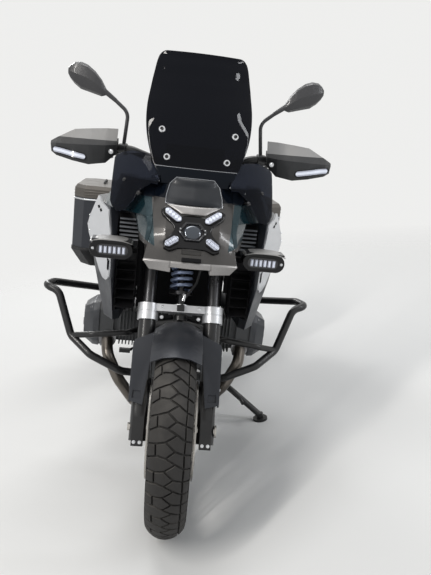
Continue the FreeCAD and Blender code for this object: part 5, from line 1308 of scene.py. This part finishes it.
def make_fork_details():
    """Screws of the sliders, the lower bridge and the calipers, and the brake hose's end."""
    bolts, ferrule = bmesh.new(), bmesh.new()
    for along in (0.130, 0.240):
        bolt(bolts, fork_point(along, FORK_OFFSET, 0.142), X, 0.005, 0.004)
    for along in (0.352, 0.386):
        bolt(bolts, fork_point(along, 0.056, 0.06), AHEAD, 0.0042, 0.004)
    for across in (0.097, 0.115):
        bolt(bolts, fork_point(-0.046, 0.0695, across), AHEAD, 0.004, 0.004)
    upright("fork_bolts", both_halves(bolts), "steering", "steel", "bright_chrome")
    for low, high, radius in ((0.408, 0.424, 0.0062), (0.424, 0.430, 0.0075)):
        post(ferrule, fork_point(low, 0.066, 0.006), fork_point(high, 0.066, 0.0085), radius, 16)
    upright("hose_ferrule", ferrule, "steering", "steel", "bright_chrome")


# name, body, axle, sides that carry a disc, radius of the buttons' circle
DISC_BUTTONS = [
    ("front_disc_buttons", "front_wheel", FRONT_AXLE, (1, -1), 0.118),
    ("rear_disc_buttons", "rear_wheel", REAR_AXLE, (1,), 0.105),
]
# where a button's body and its raised middle end, out from the wheel's middle, and their radii
BUTTON_STEPS = ((0.0665, 0.0745, 0.0085), (0.0745, 0.0752, 0.0062))
# name, body, axle, rim's seat radius, rim's half width, hub flange's place across, its spokes' radius
NIPPLES = [
    ("front_nipples", "front_wheel", FRONT_AXLE, FRONT_SEAT, FRONT_RIM_HALF, 0.032, 0.064),
    ("rear_nipples", "rear_wheel", REAR_AXLE, REAR_SEAT, REAR_RIM_HALF, 0.038, 0.078),
]
# how far round a spoke leans and how far it passes beside its pair, in degrees and metres
SPOKE_LEANS = ((-17, -0.0027), (17, 0.0027))
NIPPLE_LENGTH, VALVE_LENGTH, VALVE_DEGREES = 0.019, 0.030, 22


def make_disc_buttons():
    for name, body, axle, sides, reach in DISC_BUTTONS:
        bm = bmesh.new()
        for side in sides:
            for k in range(6):
                at = wheel_place(0, reach, 60 * k + 90, axle)
                for start, end, radius in BUTTON_STEPS:
                    post(bm, at + X * side * start, at + X * side * end, radius, 20)
        upright(name, bm, body, "steel", "bolt_steel")


def wheel_place(across, reach, degrees, centre):
    turn = math.radians(degrees)
    return centre + Vector((across, -reach * math.cos(turn), reach * math.sin(turn)))


def make_nipples():
    """The spokes' nipples at the rims, where the construction's wires end, and the valves."""
    for name, body, axle, seat, half, flange, reach in NIPPLES:
        bm = bmesh.new()
        for side in (1, -1):
            for k in range(8):
                for lean, apart in SPOKE_LEANS:
                    start = wheel_place(side * flange + apart, reach - 0.005, 45 * k, axle)
                    end = wheel_place(side * (half - 0.016) + apart, seat - 0.0113, 45 * k + lean, axle)
                    along = (end - start).normalized()
                    post(bm, end - along * NIPPLE_LENGTH, end, 0.0032, 10, 0.0038)
        valve = wheel_place(0, seat - 0.012, VALVE_DEGREES, axle)
        inward = (axle - valve).normalized()
        post(bm, valve, valve + inward * VALVE_LENGTH, 0.0042, 12, 0.0036)
        upright(name, bm, body, "steel", "bright_chrome")


# Engine, exhaust and drive

ENGINE_Y, ENGINE_Z, COVER_IN = -0.250, 0.505, 0.2843
# the head cover's corner screws and its plug, from the cover's middle
COVER_CORNER, COVER_PLUG = (0.057, 0.060), Vector((0.0575, -0.033, 0))
# the front cover's middle, its outer screws' circle and places in degrees, and its inner circle
FRONT_COVER, OUTER_CIRCLE, INNER_CIRCLE = Vector((0, -0.4215, 0.470)), 0.108, 0.030
OUTER_DEGREES = (-25, 10, 45, 80, 115, 150, 185, 205)
# the rear drive's screws' circle, and its cap as (across, radius)
DRIVE_ACROSS, DRIVE_CIRCLE = 0.1495, 0.064
DRIVE_CAP = [(0.1555, 0.0), (0.1555, 0.030), (0.152, 0.034), (0.1495, 0.034), (0.1495, 0.0)]
HEADER_AT, HEADER_BOLT = Vector((0.250, -0.3255, 0.457)), 0.0208
# along, half width, half height, across, height of each band
SILENCER_BANDS = [(0.395, 0.0535, 0.0690, -0.1625, 0.365), (0.690, 0.0548, 0.0745, -0.1856, 0.4435)]
BAND_SECTION = [(-1, -0.45), (-0.45, -1), (0.45, -1), (1, -0.45), (1, 0.45), (0.45, 1), (-0.45, 1),
                (-1, 0.45)]
# step along and how far the band stands out there
BAND_PROFILE = [(-0.008, 0.0), (-0.006, 0.0025), (0.006, 0.0025), (0.008, 0.0)]


def circle_place(radius, degrees):
    """A place on a circle that faces forward."""
    turn = math.radians(degrees)
    return Vector((radius * math.cos(turn), 0, radius * math.sin(turn)))


def make_engine_details():
    covers = bmesh.new()
    middle = Vector((COVER_IN, ENGINE_Y, ENGINE_Z))
    for y in (COVER_CORNER[0], -COVER_CORNER[0]):
        for z in (COVER_CORNER[1], -COVER_CORNER[1]):
            at = middle + Vector((0.018, y, z))
            post(covers, at, at + X * 0.013, 0.0105, 20)
            bolt(covers, at + X * 0.013, X, 0.0062, 0.006)
    post(covers, middle + COVER_PLUG, middle + COVER_PLUG + X * 0.004, 0.017, 28, 0.015)
    upright("head_cover_bolts", both_halves(covers), "root", "steel", "bolt_steel")
    front = bmesh.new()
    for degrees in OUTER_DEGREES:
        at = FRONT_COVER + circle_place(OUTER_CIRCLE, degrees)
        post(front, at + Y * 0.006, at - Y * 0.002, 0.010, 20)
        bolt(front, at - Y * 0.002, -Y, 0.0058, 0.005)
    for degrees in range(0, 360, 60):
        bolt(front, FRONT_COVER - Y * 0.0073 + circle_place(INNER_CIRCLE, degrees), -Y, 0.004, 0.004)
    upright("engine_bolts", front, "root", "steel", "bolt_steel")
    drive = bmesh.new()
    for k in range(8):
        at = wheel_place(DRIVE_ACROSS, DRIVE_CIRCLE, 45 * k + 25, REAR_AXLE)
        bolt(drive, at, X, 0.0055, 0.005)
    lathe(drive, DRIVE_CAP, REAR_AXLE, 40)
    upright("drive_bolts", drive, "root", "steel", "bolt_steel")


def make_exhaust_details():
    flanges = bmesh.new()
    post(flanges, HEADER_AT, HEADER_AT - Y * 0.009, 0.032, 32)
    both_halves(flanges)
    for side in (1, -1):
        for corner in (HEADER_BOLT, -HEADER_BOLT):
            at = Vector((side * HEADER_AT.x + corner, HEADER_AT.y - 0.008, HEADER_AT.z + corner))
            post(flanges, at, at - Y * 0.008, 0.006, 6)
    upright("header_flanges", flanges, "root", "steel", "bolt_steel")
    bands = bmesh.new()
    for along, wide, high, across, up in SILENCER_BANDS:
        capped(bands, [[Vector((across + a * (wide + grow), along + step, up + b * (high + grow)))
                        for a, b in BAND_SECTION] for step, grow in BAND_PROFILE])
    rounded(upright("silencer_bands", bands, "root", "steel", "bolt_steel"), 0.004, 2, 20)


# Seats: padded pieces, swollen by a cloth simulation and held close to their solids

# corner radius, size of the even faces, and how much they are evened
PAD_CORNER, PAD_FACE, PAD_EVENED = 0.012, 0.006, 4
# how much smaller the pad starts, its pressure, the frames that it swells, how much it is filled
PAD_SHRINK, PAD_PRESSURE, PAD_FRAMES, PAD_FILL = 0.005, 4, 18, 0.6
# the pad's foot stays where it is, and above it the swelling comes in over a height
FOOT_HELD, FOOT_BLEND = 0.006, 0.02
WELT_RADIUS, WELT_LIFT = 0.0016, 0.0004
# the left seams of each seat, then its cross seams as (along, height, half width)
RIDER_SEAM = [(0.074, -0.03, 0.893), (0.094, 0.04, 0.867), (0.126, 0.17, 0.858), (0.132, 0.31, 0.884)]
PILLION_SEAM = [(0.126, 0.352, 0.898), (0.124, 0.42, 0.920), (0.112, 0.56, 0.922), (0.094, 0.622, 0.916)]
RIDER_CROSSES = [(0.04, 0.878, 0.092), (0.255, 0.878, 0.126)]
PILLION_CROSSES = [(0.40, 0.93, 0.122), (0.575, 0.93, 0.108)]


def pad_mesh(node):
    """The seat's solid, a little smaller and cut into small even faces."""
    bm = merged_copy(node)
    bmesh.ops.recalc_face_normals(bm, faces=bm.faces)
    mesh = bpy.data.meshes.new(node + "_pad")
    bm.to_mesh(mesh)
    bm.free()
    made = bpy.data.objects.new(node + "_pad", mesh)
    bpy.context.scene.collection.objects.link(made)
    rounding = made.modifiers.new("rounding", "BEVEL")
    rounding.width, rounding.segments = PAD_CORNER, 3
    voxels = made.modifiers.new("voxels", "REMESH")
    voxels.mode, voxels.voxel_size = "VOXEL", PAD_FACE
    evened = made.modifiers.new("evened", "SMOOTH")
    evened.factor, evened.iterations = 0.5, PAD_EVENED
    applied(made)
    for vertex, normal in [(v, v.normal.copy()) for v in made.data.vertices]:
        vertex.co -= normal * PAD_SHRINK
    return made


def applied(obj):
    """Gives an object the mesh that its modifiers make of it."""
    graph = bpy.context.evaluated_depsgraph_get()
    mesh = bpy.data.meshes.new_from_object(obj.evaluated_get(graph))
    obj.modifiers.clear()
    obj.data = mesh


def swell(made, cap):
    """Blows a pad up against its own cover; no place moves farther than the cap."""
    scene = bpy.context.scene
    start = [v.co.copy() for v in made.data.vertices]
    up = PARKED.to_3x3() @ Z
    low = min(p.dot(up) for p in start)
    cloth = made.modifiers.new("swelling", "CLOTH")
    cloth.settings.use_pressure = True
    cloth.settings.uniform_pressure_force = PAD_PRESSURE
    cloth.settings.effector_weights.gravity = 0
    for number in range(1, PAD_FRAMES + 1):
        scene.frame_set(number)
    swollen = made.evaluated_get(bpy.context.evaluated_depsgraph_get()).data
    ends = [v.co.copy() for v in swollen.vertices]
    made.modifiers.clear()
    for vertex, here, there in zip(made.data.vertices, start, ends):
        held = min(1.0, max(0.0, (here.dot(up) - low - FOOT_HELD) / FOOT_BLEND))
        move = there - here
        if move.length > cap:
            move = move * (cap / move.length)
        vertex.co = here + move * held
    scene.frame_set(1)


def make_pad(node, cap):
    made = pad_mesh(node)
    swell(made, cap)
    made.data.materials.clear()
    made.data.materials.append(FINISHES["seat_cover"])
    made.data.shade_smooth()
    smooth = made.modifiers.new("smooth", "SUBSURF")
    smooth.levels = smooth.render_levels = 1
    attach(made, "root")
    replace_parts(made, node)
    return made


def seam(bm, pad, points):
    """A sewn welt laid on a pad along places of the upright motorcycle."""
    line = []
    for point in curve_through(points, 8):
        place, normal = pad.closest_point_on_mesh(PARKED @ point)[1:3]
        line.append(PARKED.inverted() @ (place + normal * WELT_LIFT))
    pipe(bm, line, WELT_RADIUS, 8, 1)


def make_seats():
    rider, pillion = make_pad("rider_seat", 0.012), make_pad("pillion_seat", 0.010)
    bm = bmesh.new()
    for pad, edge, crosses in ((rider, RIDER_SEAM, RIDER_CROSSES), (pillion, PILLION_SEAM, PILLION_CROSSES)):
        for side in (1, -1):
            seam(bm, pad, [(side * x, y, z) for x, y, z in edge])
        for y, z, half in crosses:
            seam(bm, pad, [(-half, y, z - 0.01), (0, y, z), (half, y, z - 0.01)])
    upright("seat_seams", bm, "root", "seat_cover", "welt_black")


# Side cases

CASE_IN, CASE_OUT, CASE_FRONT, CASE_REAR, CASE_BEVEL = 0.244, 0.500, 0.410, 0.850, 0.050
SEAM_Z, LID_TOP, FLOOR_Z = 0.885, 0.943, 0.560
RIM_DOWN, RIM_RADIUS, RIBS_UP, RIB_RADIUS = 0.008, 0.004, (0.016, 0.030), 0.0022
LOCKS_ALONG, LOCK_SIZE = (0.53, 0.73), (0.008, 0.034, 0.044)
# the lid's handle as (along, height over the lid)
HANDLE_ACROSS = 0.372
HANDLE = [(0.565, -0.002), (0.575, 0.009), (0.60, 0.012), (0.66, 0.012), (0.685, 0.009), (0.695, -0.002)]
# the black caps over the lower corners: height over the floor and how far the case draws in there
CAP_ROWS = [(-0.002, 0.047), (0.035, 0.022), (0.070, -0.0005), (0.085, -0.0005)]
CAP_INWARD, CAP_ALONG = 0.06, 0.04


def case_line(grow, z, shrink=0.0):
    """The left case seen from above at a height."""
    out, front, rear = CASE_OUT + grow - shrink, CASE_FRONT - grow + shrink / 2, CASE_REAR + grow - shrink / 2
    return [Vector(p) for p in (
        (CASE_IN, front, z), (out - CASE_BEVEL, front, z), (out, front + CASE_BEVEL, z),
        (out, rear - CASE_BEVEL, z), (out - CASE_BEVEL, rear, z), (CASE_IN, rear, z))]


def make_case_details():
    rims, locks, corners = bmesh.new(), bmesh.new(), bmesh.new()
    pipe(rims, case_line(0.0005, SEAM_Z - RIM_DOWN), RIM_RADIUS, 10, 1)
    upright("case_rims", both_halves(rims), "root", "silver_alloy")
    for y in LOCKS_ALONG:
        block(locks, (CASE_OUT + 0.002, y, SEAM_Z - 0.032), LOCK_SIZE)
        button = Vector((CASE_OUT + 0.004, y, SEAM_Z - 0.040))
        post(locks, button, button + X * 0.004, 0.0075, 20)
    rounded(upright("case_locks", both_halves(locks), "root", "black_plastic"), 0.002, 2)
    for side, word in SIDE_WORDS:
        ribs, handle = bmesh.new(), bmesh.new()
        for up in RIBS_UP:
            line = [(side * x, y, z) for x, y, z in case_line(0.0003, SEAM_Z + up)]
            pipe(ribs, line, RIB_RADIUS, 10, 1)
        pipe(handle, [(side * HANDLE_ACROSS, y, LID_TOP + up) for y, up in HANDLE], 0.005, 12, 4)
        upright("lid_ribs_" + word, ribs, "lid_" + word, "silver_alloy", "lid_bronze")
        upright("lid_handle_" + word, handle, "lid_" + word, "black_plastic")
    # each corner's cap runs from the case's end, round the bevel and along the side
    front, rear = [], []
    for up, shrink in CAP_ROWS:
        line = case_line(0.0015, FLOOR_Z + up, shrink)
        front.append([line[1] - X * CAP_INWARD, line[1], line[2], line[2] + Y * CAP_ALONG])
        rear.append([line[3] - Y * CAP_ALONG, line[3], line[4], line[4] - X * CAP_INWARD])
    sheet(corners, front)
    sheet(corners, rear)
    tidy(corners)
    thickened(upright("case_corners", both_halves(corners), "root", "black_plastic"), 0.0025, 0.0)


# Rear: the holder's bolts, the rack's bolts, the signals and the tail light's bands

HOLDER_FACE = Matrix.Translation((0, 1.162, 0.672)) @ Matrix.Rotation(math.radians(22), 4, "X")
RACK_MIDDLE, RACK_CIRCLE = Vector((0, 0.770, 0.9112)), 0.060
SIGNAL_AT, SIGNAL_RADIUS, SIGNAL_DEEP = Vector((0.160, 1.080, 0.738)), 0.0208, 0.0215
TAIL_BANDS_Z, TAIL_BAND_Y, TAIL_BAND_SIZE = (0.853, 0.870), 0.8925, (0.136, 0.003, 0.009)


def make_rear_details():
    bolts, amber, bands = bmesh.new(), bmesh.new(), bmesh.new()
    for x in (-0.055, 0.055):
        bolt(bolts, HOLDER_FACE @ Vector((x, 0.0035, 0.05)), HOLDER_FACE.to_3x3() @ Y, 0.0045, 0.003)
    for k in range(4):
        turn = math.radians(45 + 90 * k)
        at = RACK_MIDDLE + (X * math.cos(turn) + Y * math.sin(turn)) * RACK_CIRCLE
        post(bolts, at, at + Z * 0.0015, 0.0075, 20)
    upright("rear_bolts", bolts, "root", "steel", "bright_chrome")
    dome(amber, SIGNAL_AT, Y, SIGNAL_RADIUS, SIGNAL_DEEP, 28)
    upright("signal_lenses", both_halves(amber), "root", "red_lens", "amber_lens")
    for z in TAIL_BANDS_Z:
        block(bands, (0, TAIL_BAND_Y, z), TAIL_BAND_SIZE)
    rounded(upright("tail_bands", bands, "root", "red_lens"), 0.001, 2)


# Handlebar and instrument

# the left grip's line, from its inner end to its outer end, and what rides on it by its place across
GRIP_INNER, GRIP_OUTER = Vector((0.215, -0.348, 1.163)), Vector((0.462, -0.285, 1.145))
GRIP_RINGS, RING_FIRST, RINGS_APART, RING_RADIUS, RING_HALF = 15, 0.344, 0.0075, 0.0186, 0.0013
BAR_END = 0.486
INSTRUMENT_FACE = Matrix.Translation((0, -0.520, 1.150)) @ Matrix.Rotation(math.radians(-40), 4, "X")
GLASS_HALF = (0.087, 0.040)


def grip_place(reach):
    """The left grip's middle at a place across."""
    return GRIP_INNER.lerp(GRIP_OUTER, (reach - GRIP_INNER.x) / (GRIP_OUTER.x - GRIP_INNER.x))


def make_bar_details():
    """Grip rings, bar ends and the instrument's glass."""
    rings, ends, glass = bmesh.new(), bmesh.new(), bmesh.new()
    along = (GRIP_OUTER - GRIP_INNER).normalized()
    for k in range(GRIP_RINGS):
        at = grip_place(RING_FIRST + RINGS_APART * k)
        post(rings, at - along * RING_HALF, at + along * RING_HALF, RING_RADIUS, 28)
    bolt(ends, grip_place(BAR_END), along, 0.006, 0.004)
    upright("grip_rings", both_halves(rings), "steering", "grip_rubber")
    upright("bar_end_bolts", both_halves(ends), "steering", "steel", "bright_chrome")
    wide, high = GLASS_HALF
    outline = [(-wide, -high), (wide, -high), (wide, high), (-wide, high)]
    plate(glass, outline, 0.0105, 0.0125, INSTRUMENT_FACE)
    tidy(glass)
    rounded(upright("instrument_glass", glass, "root", "lamp_black", "projector_black"), 0.0008, 2)


make_camera()
make_stage()
dress_nodes()
make_tyres()
make_screen()
make_headlamp()
make_rounded_nodes()
make_nose_panel()
make_cowls()
make_deflectors()
make_guard_lights()
make_aux_lamps()
make_mirror_glass()
make_painted_shade_panels()
make_front_spring()
make_front_details()
make_fork_details()
make_disc_buttons()
make_nipples()
make_engine_details()
make_exhaust_details()
make_case_details()
make_rear_details()
make_bar_details()
make_seats()
